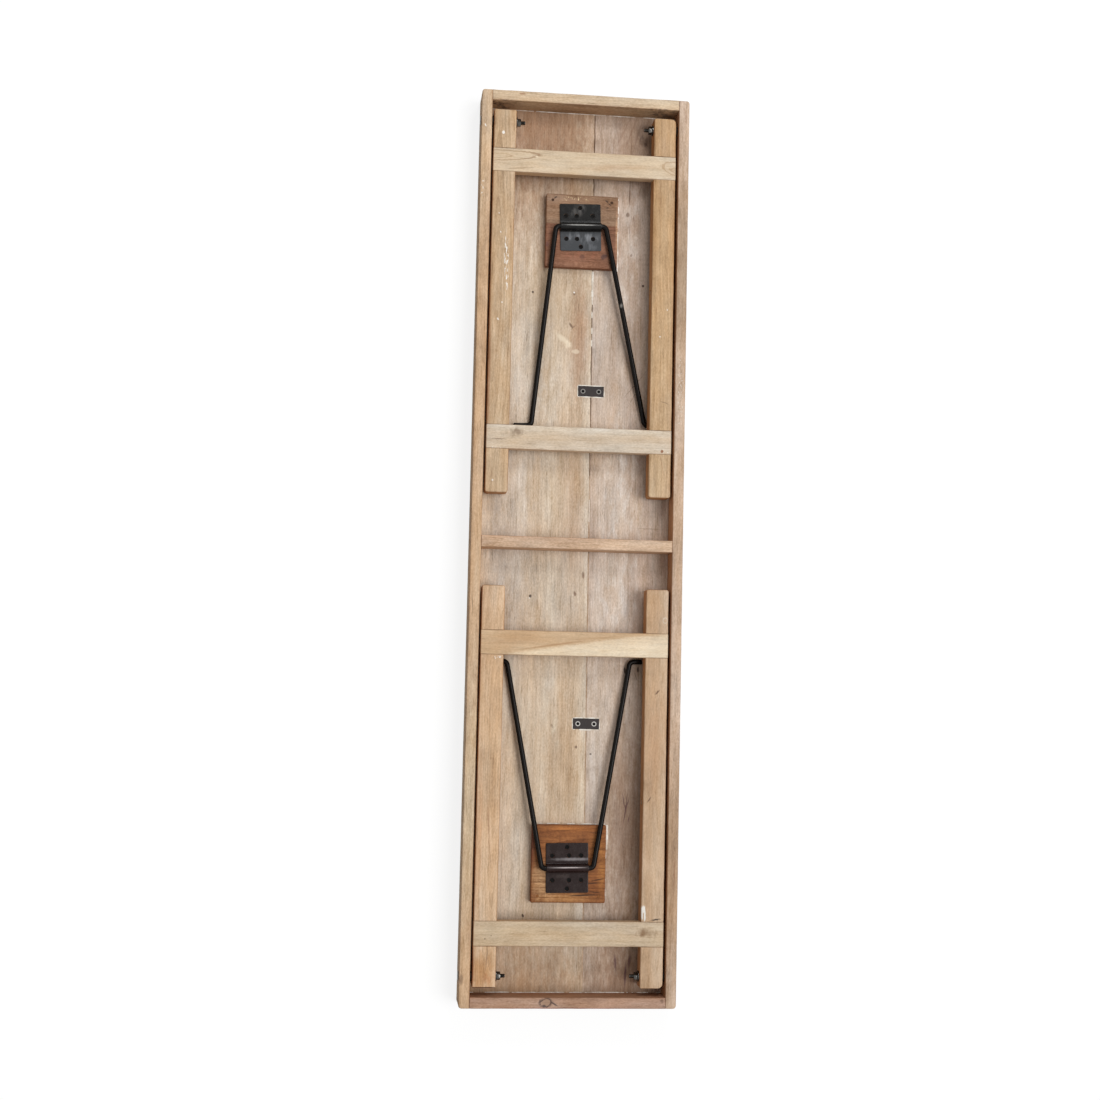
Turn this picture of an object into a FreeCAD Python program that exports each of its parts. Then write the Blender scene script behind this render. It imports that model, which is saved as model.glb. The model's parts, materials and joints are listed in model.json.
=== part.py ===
import FreeCAD
import Part
import math
import os

from FreeCAD import Placement, Rotation, Vector

# Folding table lying on its top face, underside up, with both leg frames folded in.
# The origin is the middle of the top face. X runs along the table, Y across it and Z up.
# An end is drawn with its pivot near -X and its legs running towards +X. That is the left
# end. The right end is the same drawing given half a turn about Z.

# Top and apron
table_length = 1800.0
table_width = 420.0
board_thickness = 18.0
rail_thickness = 21.0
seam_gap = 0.6
seam_y_left = -33.6
seam_y_right = -24.0
corner_radius = 6.0
edge_chamfer = 1.0
stretcher_width = 23.0
stretcher_x = -5.7

# Leg frames
leg_width = 45.0
leg_thickness = 34.0
leg_side_gap = 4.5
leg_sink = 6.0
leg_edge_chamfer = 2.5
leg_inner_radius = 3.0
leg_outer_radius = {"front": 3.0, "back": 10.0}
leg_open_angle = 92.5
pivot_inset = 37.0
pivot_margin = 21.0
foot_end_x = 91.0
cross_rail_width = 48.0
cross_rail_thickness = 22.0
cross_rail_edge_chamfer = 1.5
lap_depth = 12.0
upper_rail_offset = 82.0
lower_rail_offset = 111.0

# Pivot hardware
bolt_diameter = 8.0
bolt_head_diameter = 20.0
bolt_head_height = 2.6
bolt_neck_length = 5.0
bolt_end_length = 9.0
bolt_dome_lifts = (0.95, 0.7, 0.0)
nut_width = 14.0
nut_height = 7.5
washer_diameter = 22.0
washer_thickness = 2.0

# Rod braces, with the tip lengths on the two sides of each rod
rod_diameter = 10.0
rod_bend_radius = 9.0
rod_bend_steps = 3
saddle_offset = 204.5
brace_reach = 402.0
brace_ratio = 1.308
tip_reach = 10.0
tip_gap = 1.0
tip_lengths = {"left": (30.0, 24.0), "right": (35.0, 35.0)}
brace_hole_offset = 334.0
brace_hole_diameter = 10.8
brace_hole_depth = 16.0

# Brace blocks and the strap brackets on them
block_length = 150.0
block_width = 146.0
block_thickness = 16.0
block_setback = 7.5
block_edge_radius = 2.0
strap_width = 83.0
strap_length = 96.0
strap_thickness = 2.0
strap_bend_radius = 4.0
strap_corner_radius = 2.0
strap_shift_y = 3.0
strap_skew = {"left": 1.0, "right": 2.1}
inner_row = 23.7
outer_row = 40.0
inner_row_holes = {"left": (29.0, -4.0, -27.5), "right": (-29.0, -7.5, 25.0)}

# Mending plates across the seam
plate_length = 52.0
plate_width = 21.0
plate_thickness = 2.0
plate_hole_spacing = 32.0
plate_x = {"left": -358.0, "right": 307.0}

# Screws and square cut nails: head across, head height, shank across, length
bracket_screw = (8.0, 2.0, 4.0, 14.0)
plate_screw = (7.5, 1.7, 3.5, 13.0)
apron_screw = (9.0, 2.2, 5.0, 50.0)
block_nail = (5.5, 1.0, 2.6, 26.0)
top_nail = (6.0, 1.2, 3.0, 40.0)
block_nail_inset = 13.0
apron_screw_inset = 13.0
side_nail_margin = 140.0
side_nail_count = 3
cross_nail_y = 110.0

# Sides of the small turned pieces, which are drawn as prisms
screw_sides = 8
nail_sides = 4
nut_sides = 6
washer_sides = 12

# Clearances
pivot_clearance = 0.08
fit_clearance = 0.05
washer_play = 0.2
head_recess = 0.3
rod_over_block = 0.4
edge_tolerance = 1e-4

# Worked out from the sizes above: the apron is as deep as the folded legs, with the tips of
# the braces behind them
apron_depth = leg_sink + leg_thickness + rod_diameter + 2 * tip_gap
half_length = table_length / 2
half_width = table_width / 2
inner_half_length = half_length - rail_thickness
inner_half_width = half_width - rail_thickness
apron_top_z = board_thickness + apron_depth
leg_front_z = apron_top_z - leg_sink
leg_back_z = leg_front_z - leg_thickness
lap_z = leg_front_z - lap_depth
leg_outer_y = inner_half_width - leg_side_gap
leg_inner_y = leg_outer_y - leg_width
nut_washer_y = leg_inner_y - washer_play - washer_thickness
pivot_x = -(inner_half_length - pivot_inset)
pivot_z = (leg_front_z + leg_back_z) / 2
upper_rail_x = pivot_x + upper_rail_offset
lower_rail_x = -foot_end_x - lower_rail_offset
rod_radius = rod_diameter / 2
bolt_radius = bolt_diameter / 2
block_top_z = board_thickness + block_thickness
saddle_x = pivot_x + saddle_offset
tip_z = (board_thickness + leg_back_z) / 2

# The rod slopes from its saddle down to its tips, which lie between the legs and the boards.
# The saddle is just high enough for the rod to pass over the block's near edge.
block_edge_distance = block_setback + block_length / 2
edge_share = block_edge_distance / brace_reach
saddle_rise = (rod_radius + rod_over_block + edge_share * (block_top_z - tip_z)) / (1 - edge_share)
saddle_z = block_top_z + saddle_rise
rod_slope = math.degrees(math.asin((saddle_z - tip_z) / brace_reach))

up = Vector(0, 0, 1)
along = Vector(1, 0, 0)
across = Vector(0, 1, 0)
origin = Vector(0, 0, 0)
outward = Rotation(along, -90)
ends = ("left", "right")
sides = (1, -1)


def box(x0, x1, y0, y1, z0, z1):
    return Part.makeBox(x1 - x0, y1 - y0, z1 - z0, Vector(x0, y0, z0))


def cylinder(radius, length, base, direction):
    return Part.makeCylinder(radius, length, base, direction)


def corner_arc(before, corner, after, radius):
    """The start, middle and end of the arc that rounds a corner."""
    back = (before - corner).normalize()
    ahead = (after - corner).normalize()
    half_angle = back.getAngle(ahead) / 2
    tangent = radius / math.tan(half_angle)
    middle = corner + (back + ahead).normalize() * (radius / math.sin(half_angle) - radius)
    return corner + back * tangent, middle, corner + ahead * tangent


def rounded_outline(points, radii):
    """A closed outline through the points, with an arc at each corner that has a radius."""
    edges = []
    stops = []
    for i, (corner, radius) in enumerate(zip(points, radii)):
        if radius > 0:
            start, middle, end = corner_arc(points[i - 1], corner, points[(i + 1) % len(points)], radius)
            edges.append(Part.Arc(start, middle, end).toShape())
            stops.append((start, end))
        else:
            stops.append((corner, corner))
    for i, (start, end) in enumerate(stops):
        edges.append(Part.LineSegment(stops[i - 1][1], start).toShape())
    return Part.Wire(Part.__sortEdges__(edges))


def slab(corners, radii, z0, z1):
    """A flat piece with the given corners and corner radii, from z0 up to z1."""
    points = [Vector(x, y, z0) for x, y in corners]
    return Part.Face(rounded_outline(points, radii)).extrude(up * (z1 - z0))


def rectangle(x0, x1, y0, y1):
    return [(x0, y0), (x1, y0), (x1, y1), (x0, y1)]


def rim_edges(shape, z):
    """The edges of a slab that lie at the height z."""
    def lies_at_z(edge):
        bounds = edge.BoundBox
        return abs(bounds.ZMin - z) < edge_tolerance and abs(bounds.ZMax - z) < edge_tolerance

    return [edge for edge in shape.Edges if lies_at_z(edge)]


def turned_prism(profile, count):
    """A many-sided body about Z from (radius, height) points, top first, with flat ends."""
    rings = []
    for radius, z in profile:
        turns = [math.radians(360 * (i + 0.5) / count) for i in range(count)]
        rings.append([Vector(radius * math.cos(t), radius * math.sin(t), z) for t in turns])
    outlines = [rings[0], rings[-1][::-1]]
    for upper, lower in zip(rings, rings[1:]):
        for i in range(count):
            j = (i + 1) % count
            outlines.append([upper[i], lower[i], lower[j], upper[j]])
    faces = [Part.Face(Part.makePolygon(points + points[:1])) for points in outlines]
    return Part.Solid(Part.Shell(faces))


def bolt_hole(length):
    """The hole for a bolt's shank, up from the origin, its sides clear of the round shank."""
    radius = (bolt_radius + fit_clearance) / math.cos(math.pi / washer_sides)
    return turned_prism([(radius, length), (radius, 0)], washer_sides)


def ring(thickness, base):
    """A washer round the Y axis, its hole a little wider than the bolt."""
    washer = turned_prism([(washer_diameter / 2, thickness), (washer_diameter / 2, 0)], washer_sides)
    washer = washer.cut(bolt_hole(thickness))
    washer.Placement = Placement(base, outward)
    return washer


def screw(sizes, clearance=0.0):
    """A countersunk screw pointing down, its head's top at the origin, or the hole for one."""
    head_diameter, head_height, shank_diameter, length = sizes
    head = head_diameter / 2 + clearance
    shank = shank_diameter / 2 + clearance
    profile = [(head, 0), (shank, -head_height), (shank, -length - clearance)]
    if clearance:
        profile.insert(0, (head, head_recess))
    return turned_prism(profile, screw_sides)


def nail(sizes, clearance=0.0):
    """A square cut nail pointing down, its head's top at the origin, or the hole for one."""
    to_corner = math.sqrt(0.5)
    head_across, head_height, shank_across, length = sizes
    head = (head_across + 2 * clearance) * to_corner
    shank = (shank_across + 2 * clearance) * to_corner
    mouth = head_recess if clearance else 0.0
    neck = -head_height - clearance
    profile = [(head, mouth), (head, neck), (shank, neck), (shank, -length - clearance)]
    return turned_prism(profile, nail_sides)


def fasteners(maker, sizes, places):
    """Copies of a screw or nail, and their holes, sunk a little at each (point, direction)."""
    bodies = []
    holes = []
    for point, direction in places:
        seat = Placement(point + direction * head_recess, Rotation(up * -1, direction))
        for clearance, group in ((0.0, bodies), (fit_clearance, holes)):
            copy = maker(sizes, clearance)
            copy.Placement = seat
            group.append(copy)
    return bodies, holes


def placed(end, shape):
    """The shape at its own end of the table."""
    copy = shape.copy()
    if end == "right":
        copy.rotate(origin, up, 180)
    return copy


def side_name(end, side):
    """Front is the +Y side of the table."""
    front = side > 0 if end == "left" else side < 0
    return "front" if front else "back"


def strap_frame(end, z):
    """The place and turn of an end's bracket and rod, at the height z."""
    shift = strap_shift_y if end == "left" else -strap_shift_y
    return Placement(Vector(saddle_x, shift, z), Rotation(up, strap_skew[end]))


# Top boards, rails and stretcher

def make_boards():
    def seam_at(offset):
        return [(-half_length, seam_y_left + offset), (half_length, seam_y_right + offset)]

    left_low, right_low = seam_at(-seam_gap / 2)
    left_high, right_high = seam_at(seam_gap / 2)
    wide = [left_high, right_high, (half_length, half_width), (-half_length, half_width)]
    narrow = [(-half_length, -half_width), (half_length, -half_width), right_low, left_low]
    wide_board = slab(wide, [0, 0, corner_radius, corner_radius], 0, board_thickness)
    narrow_board = slab(narrow, [corner_radius, corner_radius, 0, 0], 0, board_thickness)
    return [board.makeChamfer(edge_chamfer, rim_edges(board, 0)) for board in (wide_board, narrow_board)]


def make_side_rail(side):
    inner = side * inner_half_width
    outer = side * half_width
    corners = rectangle(-half_length, half_length, min(inner, outer), max(inner, outer))
    low, high = (0, corner_radius) if side > 0 else (corner_radius, 0)
    rail = slab(corners, [low, low, high, high], board_thickness, apron_top_z)
    return rail.makeChamfer(edge_chamfer, rim_edges(rail, apron_top_z))


def cross_member(x0, x1):
    """A rail between the side rails, eased along its two long edges."""
    member = box(x0, x1, -inner_half_width, inner_half_width, board_thickness, apron_top_z)
    long_edges = [e for e in rim_edges(member, apron_top_z) if e.BoundBox.XLength < edge_tolerance]
    return member.makeChamfer(edge_chamfer, long_edges)


# Leg frames

def make_leg(side, outer_radius):
    inner = side * leg_inner_y
    outer = side * leg_outer_y
    corners = rectangle(pivot_x - pivot_margin, -foot_end_x, min(inner, outer), max(inner, outer))
    radii = [leg_inner_radius, 0, 0, outer_radius]
    leg = slab(corners, radii[::side], leg_back_z, leg_front_z)
    leg = leg.makeChamfer(leg_edge_chamfer, rim_edges(leg, leg_back_z) + rim_edges(leg, leg_front_z))
    half_rail = cross_rail_width / 2
    for x in (upper_rail_x, lower_rail_x):
        notch = box(x - half_rail, x + half_rail, -half_width, half_width, lap_z, apron_top_z)
        leg = leg.cut(notch)
    bore_start = Vector(pivot_x, -half_width, pivot_z)
    bore = cylinder(bolt_radius + pivot_clearance, table_width, bore_start, across)
    hole_mouth = Vector(pivot_x + brace_hole_offset, inner, pivot_z)
    hole_radius = brace_hole_diameter / 2
    brace_hole = turned_prism([(hole_radius, brace_hole_depth), (hole_radius, 0)], washer_sides)
    brace_hole.Placement = Placement(hole_mouth, Rotation(up, across * side))
    return leg.cut(bore).cut(brace_hole)


def make_cross_rail(x):
    """A rail lapped into both legs: full thickness between them, thinned to the lap over each."""
    x0 = x - cross_rail_width / 2
    x1 = x + cross_rail_width / 2
    rail = box(x0, x1, -leg_outer_y, leg_outer_y, lap_z, leg_front_z)
    shoulder = box(x0, x1, -leg_inner_y, leg_inner_y, leg_front_z - cross_rail_thickness, lap_z)
    rail = rail.fuse(shoulder).removeSplitter()
    return rail.makeChamfer(cross_rail_edge_chamfer, rim_edges(rail, leg_front_z))


# Pivot hardware, drawn for the +Y side and turned about the pivot's middle for the other side

def make_bolt():
    """A bolt with a domed head outside the side rail and a square neck, pointing down."""
    length = half_width - nut_washer_y + nut_height + bolt_end_length
    head_radius = bolt_head_diameter / 2
    dome = []
    for lift in bolt_dome_lifts:
        dome.append((head_radius * math.sqrt(1 - lift ** 2), bolt_head_height * lift))
    head = turned_prism(dome, washer_sides)
    shank = cylinder(bolt_radius, length, up * -length, up)
    return head.fuse([shank, neck_block(0.0)]).removeSplitter()


def neck_block(clearance):
    half_neck = bolt_radius + clearance
    return box(-half_neck, half_neck, -half_neck, half_neck, -bolt_neck_length - clearance, 0)


def make_nut():
    corner = nut_width / 2 / math.cos(math.pi / nut_sides)
    prism = turned_prism([(corner, nut_height), (corner, 0)], nut_sides)
    return prism.cut(bolt_hole(nut_height))


def pivot_places():
    """The middle of the pivot axis, facing one side of the table and then the other."""
    return [Placement(Vector(pivot_x, 0, pivot_z), Rotation(up, turn)) for turn in (0, 180)]


def pivot_stack(end):
    """The bolt, nut, washer and spacer of both pivots of one end, keyed by what they are."""
    stack = {"bolts": [], "nuts": [], "washers": [], "spacers": []}
    for place in pivot_places():
        bolt = make_bolt()
        bolt.Placement = place.multiply(Placement(across * half_width, outward))
        nut = make_nut()
        nut.Placement = place.multiply(Placement(across * (nut_washer_y - nut_height), outward))
        washer = ring(washer_thickness, across * nut_washer_y)
        washer.Placement = place.multiply(washer.Placement)
        spacer = ring(leg_side_gap - washer_play, across * (leg_outer_y + washer_play))
        spacer.Placement = place.multiply(spacer.Placement)
        for kind, piece in (("bolts", bolt), ("nuts", nut), ("washers", washer), ("spacers", spacer)):
            stack[kind].append(placed(end, piece))
    return stack


def pivot_holes(end):
    """The shank's hole and the square neck's pocket of each pivot in the side rails."""
    holes = []
    for place in pivot_places():
        pocket = neck_block(fit_clearance)
        pocket.Placement = place.multiply(Placement(across * half_width, outward))
        hole = bolt_hole(rail_thickness)
        hole.Placement = place.multiply(Placement(across * inner_half_width, outward))
        holes += [placed(end, pocket), placed(end, hole)]
    return holes


# Braces

def make_block():
    x = saddle_x + block_setback
    half_x = block_length / 2
    half_y = block_width / 2
    block = box(x - half_x, x + half_x, -half_y, half_y, board_thickness, block_top_z)
    return block.makeFillet(block_edge_radius, rim_edges(block, block_top_z))


def make_strap(end):
    """The bracket: two flanges and a raised saddle that is round over the rod."""
    inner = rod_radius + pivot_clearance
    outer = inner + strap_thickness
    foot = outer + strap_bend_radius
    wall_z = strap_thickness + strap_bend_radius
    reach = strap_length / 2

    def point(x, z):
        return Vector(x, -strap_width / 2, z)

    def line(start, finish):
        return Part.LineSegment(start, finish).toShape()

    def flange_face(sign, z, bend_radius, wall_x):
        """One face of a flange: along to its bend, round the bend and up the saddle's wall."""
        diagonal = bend_radius * math.sqrt(0.5)
        bend_start = point(sign * foot, z)
        bend_middle = point(sign * (foot - diagonal), wall_z - diagonal)
        bend_end = point(sign * wall_x, wall_z)
        return [
            line(point(sign * reach, z), bend_start),
            Part.Arc(bend_start, bend_middle, bend_end).toShape(),
            line(bend_end, point(sign * wall_x, saddle_rise)),
        ]

    def crown(radius):
        top = point(0, saddle_rise + radius)
        return Part.Arc(point(-radius, saddle_rise), top, point(radius, saddle_rise)).toShape()

    def is_flange_corner(edge):
        bounds = edge.BoundBox
        return abs(bounds.ZMin) < edge_tolerance and abs(bounds.ZMax - edge.Length) < edge_tolerance

    edges = [crown(inner), crown(outer)]
    for sign in sides:
        edges += flange_face(sign, 0, strap_bend_radius + strap_thickness, inner)
        edges += flange_face(sign, strap_thickness, strap_bend_radius, outer)
        edges.append(line(point(sign * reach, 0), point(sign * reach, strap_thickness)))
    outline = Part.Wire(Part.__sortEdges__(edges))
    strap = Part.Face(outline).extrude(across * strap_width)
    strap = strap.makeFillet(strap_corner_radius, [e for e in strap.Edges if is_flange_corner(e)])
    strap.Placement = strap_frame(end, block_top_z)
    return strap


def strap_screw_places(end):
    frame = strap_frame(end, block_top_z + strap_thickness)
    spots = [(sign * inner_row, w) for sign in sides for w in inner_row_holes[end]]
    spots += [(sign * outer_row, 0.0) for sign in sides]
    return [(frame.multVec(Vector(s, w, 0)), up * -1) for s, w in spots]


def block_nail_places():
    x = saddle_x + block_setback
    reach_x = block_length / 2 - block_nail_inset
    reach_y = block_width / 2 - block_nail_inset
    return [(Vector(x + a * reach_x, b * reach_y, block_top_z), up * -1) for a in sides for b in sides]


def rod_sections(points):
    """Circles square to the rod at its ends and round its bends."""
    def circle(centre, direction):
        return Part.Wire(Part.makeCircle(rod_radius, centre, direction))

    sections = [circle(points[0], points[1] - points[0])]
    for before, corner, after in zip(points, points[1:], points[2:]):
        start, middle, end = corner_arc(before, corner, after, rod_bend_radius)
        bend = Part.Arc(start, middle, end)
        for i in range(rod_bend_steps + 1):
            turn = bend.FirstParameter + (bend.LastParameter - bend.FirstParameter) * i / rod_bend_steps
            sections.append(circle(bend.value(turn), bend.tangent(turn)[0]))
    sections.append(circle(points[-1], points[-1] - points[-2]))
    return sections


def make_rod(end):
    """A round rod bent to a V: straight through its saddle, two arms, and turned-out tips."""
    shift = strap_frame(end, saddle_z).Base.y
    skew = math.radians(strap_skew[end])
    open_tilt = math.radians(brace_ratio * leg_open_angle - rod_slope)
    middle = -(shift + brace_reach * math.cos(open_tilt) * math.sin(skew)) / math.cos(skew)
    half_span = leg_inner_y + tip_reach
    saddle_corner = strap_width / 2 + rod_bend_radius
    plus_tip, minus_tip = tip_lengths[end]
    points = [
        Vector(brace_reach, middle + half_span, 0),
        Vector(brace_reach, middle + half_span - plus_tip, 0),
        Vector(0, saddle_corner, 0),
        Vector(0, -saddle_corner, 0),
        Vector(brace_reach, middle - half_span + minus_tip, 0),
        Vector(brace_reach, middle - half_span, 0),
    ]
    rod = Part.makeLoft(rod_sections(points), True, True)
    rod.Placement = strap_frame(end, saddle_z).multiply(Placement(origin, Rotation(across, rod_slope)))
    return rod


# Mending plates

def seam_y(x):
    return seam_y_left + (seam_y_right - seam_y_left) * (x + half_length) / table_length


def make_plate(end, clearance):
    x = plate_x[end]
    half_x = plate_width / 2 + clearance
    half_y = plate_length / 2 + clearance
    corners = rectangle(x - half_x, x + half_x, seam_y(x) - half_y, seam_y(x) + half_y)
    return slab(corners, [0] * 4, board_thickness - plate_thickness, board_thickness)


def plate_screw_places(end):
    x = plate_x[end]
    offsets = [side * plate_hole_spacing / 2 for side in sides]
    return [(Vector(x, seam_y(x) + offset, board_thickness), up * -1) for offset in offsets]


# Hidden fasteners of the top and the apron

def top_nail_places():
    reach = half_length - side_nail_margin
    step = 2 * reach / (side_nail_count - 1)
    rail_y = half_width - rail_thickness / 2
    rail_x = half_length - rail_thickness / 2
    spots = [(i * step - reach, side * rail_y) for i in range(side_nail_count) for side in sides]
    spots += [(x, side * cross_nail_y) for x in (-rail_x, stretcher_x, rail_x) for side in sides]
    return [(Vector(x, y, 0), up) for x, y in spots]


def apron_screw_places():
    rail_x = half_length - rail_thickness / 2
    heights = (board_thickness + apron_screw_inset, apron_top_z - apron_screw_inset)
    spots = [(x, z) for x in (-rail_x, rail_x) for z in heights]
    spots.append((stretcher_x, (board_thickness + apron_top_z) / 2))
    return [(Vector(x, side * half_width, z), across * -side) for x, z in spots for side in sides]


# The assembly

def build():
    top_nails, top_nail_holes = fasteners(nail, top_nail, top_nail_places())
    apron_screws, apron_screw_holes = fasteners(screw, apron_screw, apron_screw_places())
    rail_cuts = top_nail_holes + apron_screw_holes + pivot_holes("left") + pivot_holes("right")
    board_cuts = list(top_nail_holes)
    parts = {}
    stacks = {"bolts": [], "nuts": [], "washers": [], "spacers": []}
    block_nails = []
    plate_screws = []

    for end in ends:
        for kind, pieces in pivot_stack(end).items():
            stacks[kind] += pieces

        screws, screw_holes = fasteners(screw, bracket_screw, strap_screw_places(end))
        nails, nail_holes = fasteners(nail, block_nail, block_nail_places())
        block = make_block().cut(screw_holes + nail_holes)
        strap = make_strap(end).cut(screw_holes)
        parts["brace_block_" + end] = placed(end, block)
        parts["saddle_bracket_" + end] = placed(end, strap)
        parts["saddle_screws_" + end] = Part.makeCompound([placed(end, s) for s in screws])
        parts["brace_rod_" + end] = placed(end, make_rod(end))
        block_nails += [placed(end, n) for n in nails]
        board_cuts += [placed(end, h) for h in nail_holes]

        plate_pins, plate_holes = fasteners(screw, plate_screw, plate_screw_places(end))
        parts["mending_plate_" + end] = make_plate(end, 0.0).cut(plate_holes)
        plate_screws += plate_pins
        board_cuts += plate_holes + [make_plate(end, fit_clearance)]

        for side in sides:
            name = side_name(end, side)
            parts["leg_" + end + "_" + name] = placed(end, make_leg(side, leg_outer_radius[name]))
        parts["upper_cross_rail_" + end] = placed(end, make_cross_rail(upper_rail_x))
        parts["lower_cross_rail_" + end] = placed(end, make_cross_rail(lower_rail_x))

    wide_board, narrow_board = make_boards()
    parts["top_board_wide"] = wide_board.cut(board_cuts)
    parts["top_board_narrow"] = narrow_board.cut(board_cuts)
    parts["side_rail_front"] = make_side_rail(1).cut(rail_cuts)
    parts["side_rail_back"] = make_side_rail(-1).cut(rail_cuts)
    parts["end_rail_left"] = cross_member(-half_length, -inner_half_length).cut(rail_cuts)
    parts["end_rail_right"] = cross_member(inner_half_length, half_length).cut(rail_cuts)
    half_stretcher = stretcher_width / 2
    stretcher = cross_member(stretcher_x - half_stretcher, stretcher_x + half_stretcher)
    parts["centre_stretcher"] = stretcher.cut(rail_cuts)
    parts["pivot_bolts"] = Part.makeCompound(stacks["bolts"])
    parts["pivot_nuts"] = Part.makeCompound(stacks["nuts"])
    parts["pivot_washers"] = Part.makeCompound(stacks["washers"])
    parts["pivot_spacers"] = Part.makeCompound(stacks["spacers"])
    parts["block_nails"] = Part.makeCompound(block_nails)
    parts["mending_plate_screws"] = Part.makeCompound(plate_screws)
    parts["apron_screws"] = Part.makeCompound(apron_screws)
    parts["top_nails"] = Part.makeCompound(top_nails)
    return parts


os.makedirs("parts", exist_ok=True)
for node, shape in build().items():
    shape.exportStep("parts/" + node + ".step")
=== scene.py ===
import json
import math
from collections import namedtuple

import bmesh
import bpy
from mathutils import Matrix, Vector, noise


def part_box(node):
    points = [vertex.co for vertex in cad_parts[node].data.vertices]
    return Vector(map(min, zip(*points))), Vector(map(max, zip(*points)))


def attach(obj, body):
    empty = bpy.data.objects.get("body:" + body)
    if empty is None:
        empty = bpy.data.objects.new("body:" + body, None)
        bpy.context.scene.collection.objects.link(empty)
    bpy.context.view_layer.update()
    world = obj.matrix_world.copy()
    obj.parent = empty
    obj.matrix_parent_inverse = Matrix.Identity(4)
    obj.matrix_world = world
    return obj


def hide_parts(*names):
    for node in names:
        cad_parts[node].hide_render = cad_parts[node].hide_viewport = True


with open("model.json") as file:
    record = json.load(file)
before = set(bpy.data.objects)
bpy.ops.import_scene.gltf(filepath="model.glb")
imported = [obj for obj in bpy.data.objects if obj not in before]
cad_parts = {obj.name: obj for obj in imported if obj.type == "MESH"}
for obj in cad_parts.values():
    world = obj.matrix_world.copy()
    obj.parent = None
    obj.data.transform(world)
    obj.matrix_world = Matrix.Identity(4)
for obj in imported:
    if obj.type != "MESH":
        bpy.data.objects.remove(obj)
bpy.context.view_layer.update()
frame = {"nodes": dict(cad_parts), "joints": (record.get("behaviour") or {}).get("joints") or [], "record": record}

# A folding table lying on its top face, seen from above its underside, on a plain pale floor.
# X runs along the table, Y across it and Z up, in metres. Each node of the frame is replaced by
# a finished piece of the same size in the same place, which moves with the node's body.

MM = 0.001
RECORD = frame["record"]
NODE_BODY = {node: body for body, nodes in RECORD["behaviour"]["bodies"].items() for node in nodes}
NODE_SLOT = {part["node"]: part["material_slot"] for part in RECORD["subparts"]}
JOINT_OF_BODY = {joint["child"]: joint for joint in frame["joints"]}
WIDE_LOW, WIDE_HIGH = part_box("top_board_wide")
NARROW_LOW, NARROW_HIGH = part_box("top_board_narrow")
ENDS = ("left", "right")
PLATES = ("mending_plate_left", "mending_plate_right")
ACROSS = Vector((0, 1, 0))
UP = Vector((0, 0, 1))
QUARTER_TURN = math.pi / 2

# Camera, in the table's frame, for an image of equal width and height
CAMERA_PLACE = Vector((-0.2890, 0.3872, 3.1849))
CAMERA_UP = Vector((0.99608, 0.03128, 0.08269))
CAMERA_BACK = Vector((-0.08557, 0.10598, 0.99068))
FOCAL_PIXELS = 1606.6
IMAGE_PIXELS = 1100
SENSOR_WIDTH = 36.0

# Light: a soft lamp, a softbox and an even sky, which show a level face about as it is coloured
KEY_FROM = Vector((-0.06, -0.50, 0.86))
KEY_ANGLE = 36.0
KEY_STRENGTH = 1.82
SOFTBOX_PLACE = Vector((2.0, -0.42, 2.3))
SOFTBOX_SIZE = 0.6
SOFTBOX_POWER = 17.0
WORLD_STRENGTH = 0.36
FLOOR_SIZE = 30.0
FLOOR_DIFFUSE = 0.20
FLOOR_GLOW = 0.83

# Bars: ease of the long edges, depth of wear, and radii of the corners at the low and the high side
BarShape = namedtuple("BarShape", "ease wear corners")
WIDE_BOARD = BarShape(1.4 * MM, 1.6 * MM, (0.5 * MM, 5 * MM))
NARROW_BOARD = BarShape(1.4 * MM, 1.6 * MM, (5 * MM, 0.5 * MM))
FRONT_RAIL = BarShape(1.6 * MM, 1.0 * MM, (0.4 * MM, 6 * MM))
BACK_RAIL = BarShape(1.6 * MM, 1.0 * MM, (6 * MM, 0.4 * MM))
END_RAIL = BarShape(1.3 * MM, 1.0 * MM, (0.3 * MM, 0.3 * MM))
CROSS_RAIL = BarShape(1.5 * MM, 1.0 * MM, (1.5 * MM, 1.5 * MM))
BLOCK = BarShape(2.0 * MM, 1.3 * MM, (2.5 * MM, 2.5 * MM))
PLATE = BarShape(0.35 * MM, 0.25 * MM, (1.2 * MM, 1.2 * MM))
LEGS = {"front": BarShape(2.6 * MM, 1.0 * MM, (3 * MM, 3 * MM)),
        "back": BarShape(2.6 * MM, 1.0 * MM, (10 * MM, 3 * MM))}
LEG_FOOT_CORNER = 5 * MM
STATION_STEP = 12 * MM
PLATE_STATION_STEP = 4 * MM
FACE_STEP = 22 * MM
ARC_STEPS = 3
END_STEPS = 4

# Wear of the bars, with rough and fine noise in waves per metre
FACE_WEAR = 0.12
FACE_START = 0.6 * MM
FACE_START_SHARE = 0.3
WEAR_FADE = 5 * MM
SEED_STEP = 0.37
ROUGH_WAVES = Vector((28, 30, 30))
FINE_WAVES = Vector((95, 60, 60))
ROUGH_SHARE = 0.7
FINE_SHARE = 0.45
WEAR_START = 0.1

# Joints of the timbers
SEAM_GAP = 0.6 * MM
LAP_DEPTH = 12 * MM
JOINT_GAP = 0.25 * MM
BOLT_BORE = 8.3 * MM
BOLT_BORE_LENGTH = 120 * MM
BRACE_HOLE_OFFSET = 334 * MM
BRACE_HOLE = 10.8 * MM
BRACE_HOLE_DEPTH = 16 * MM

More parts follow.
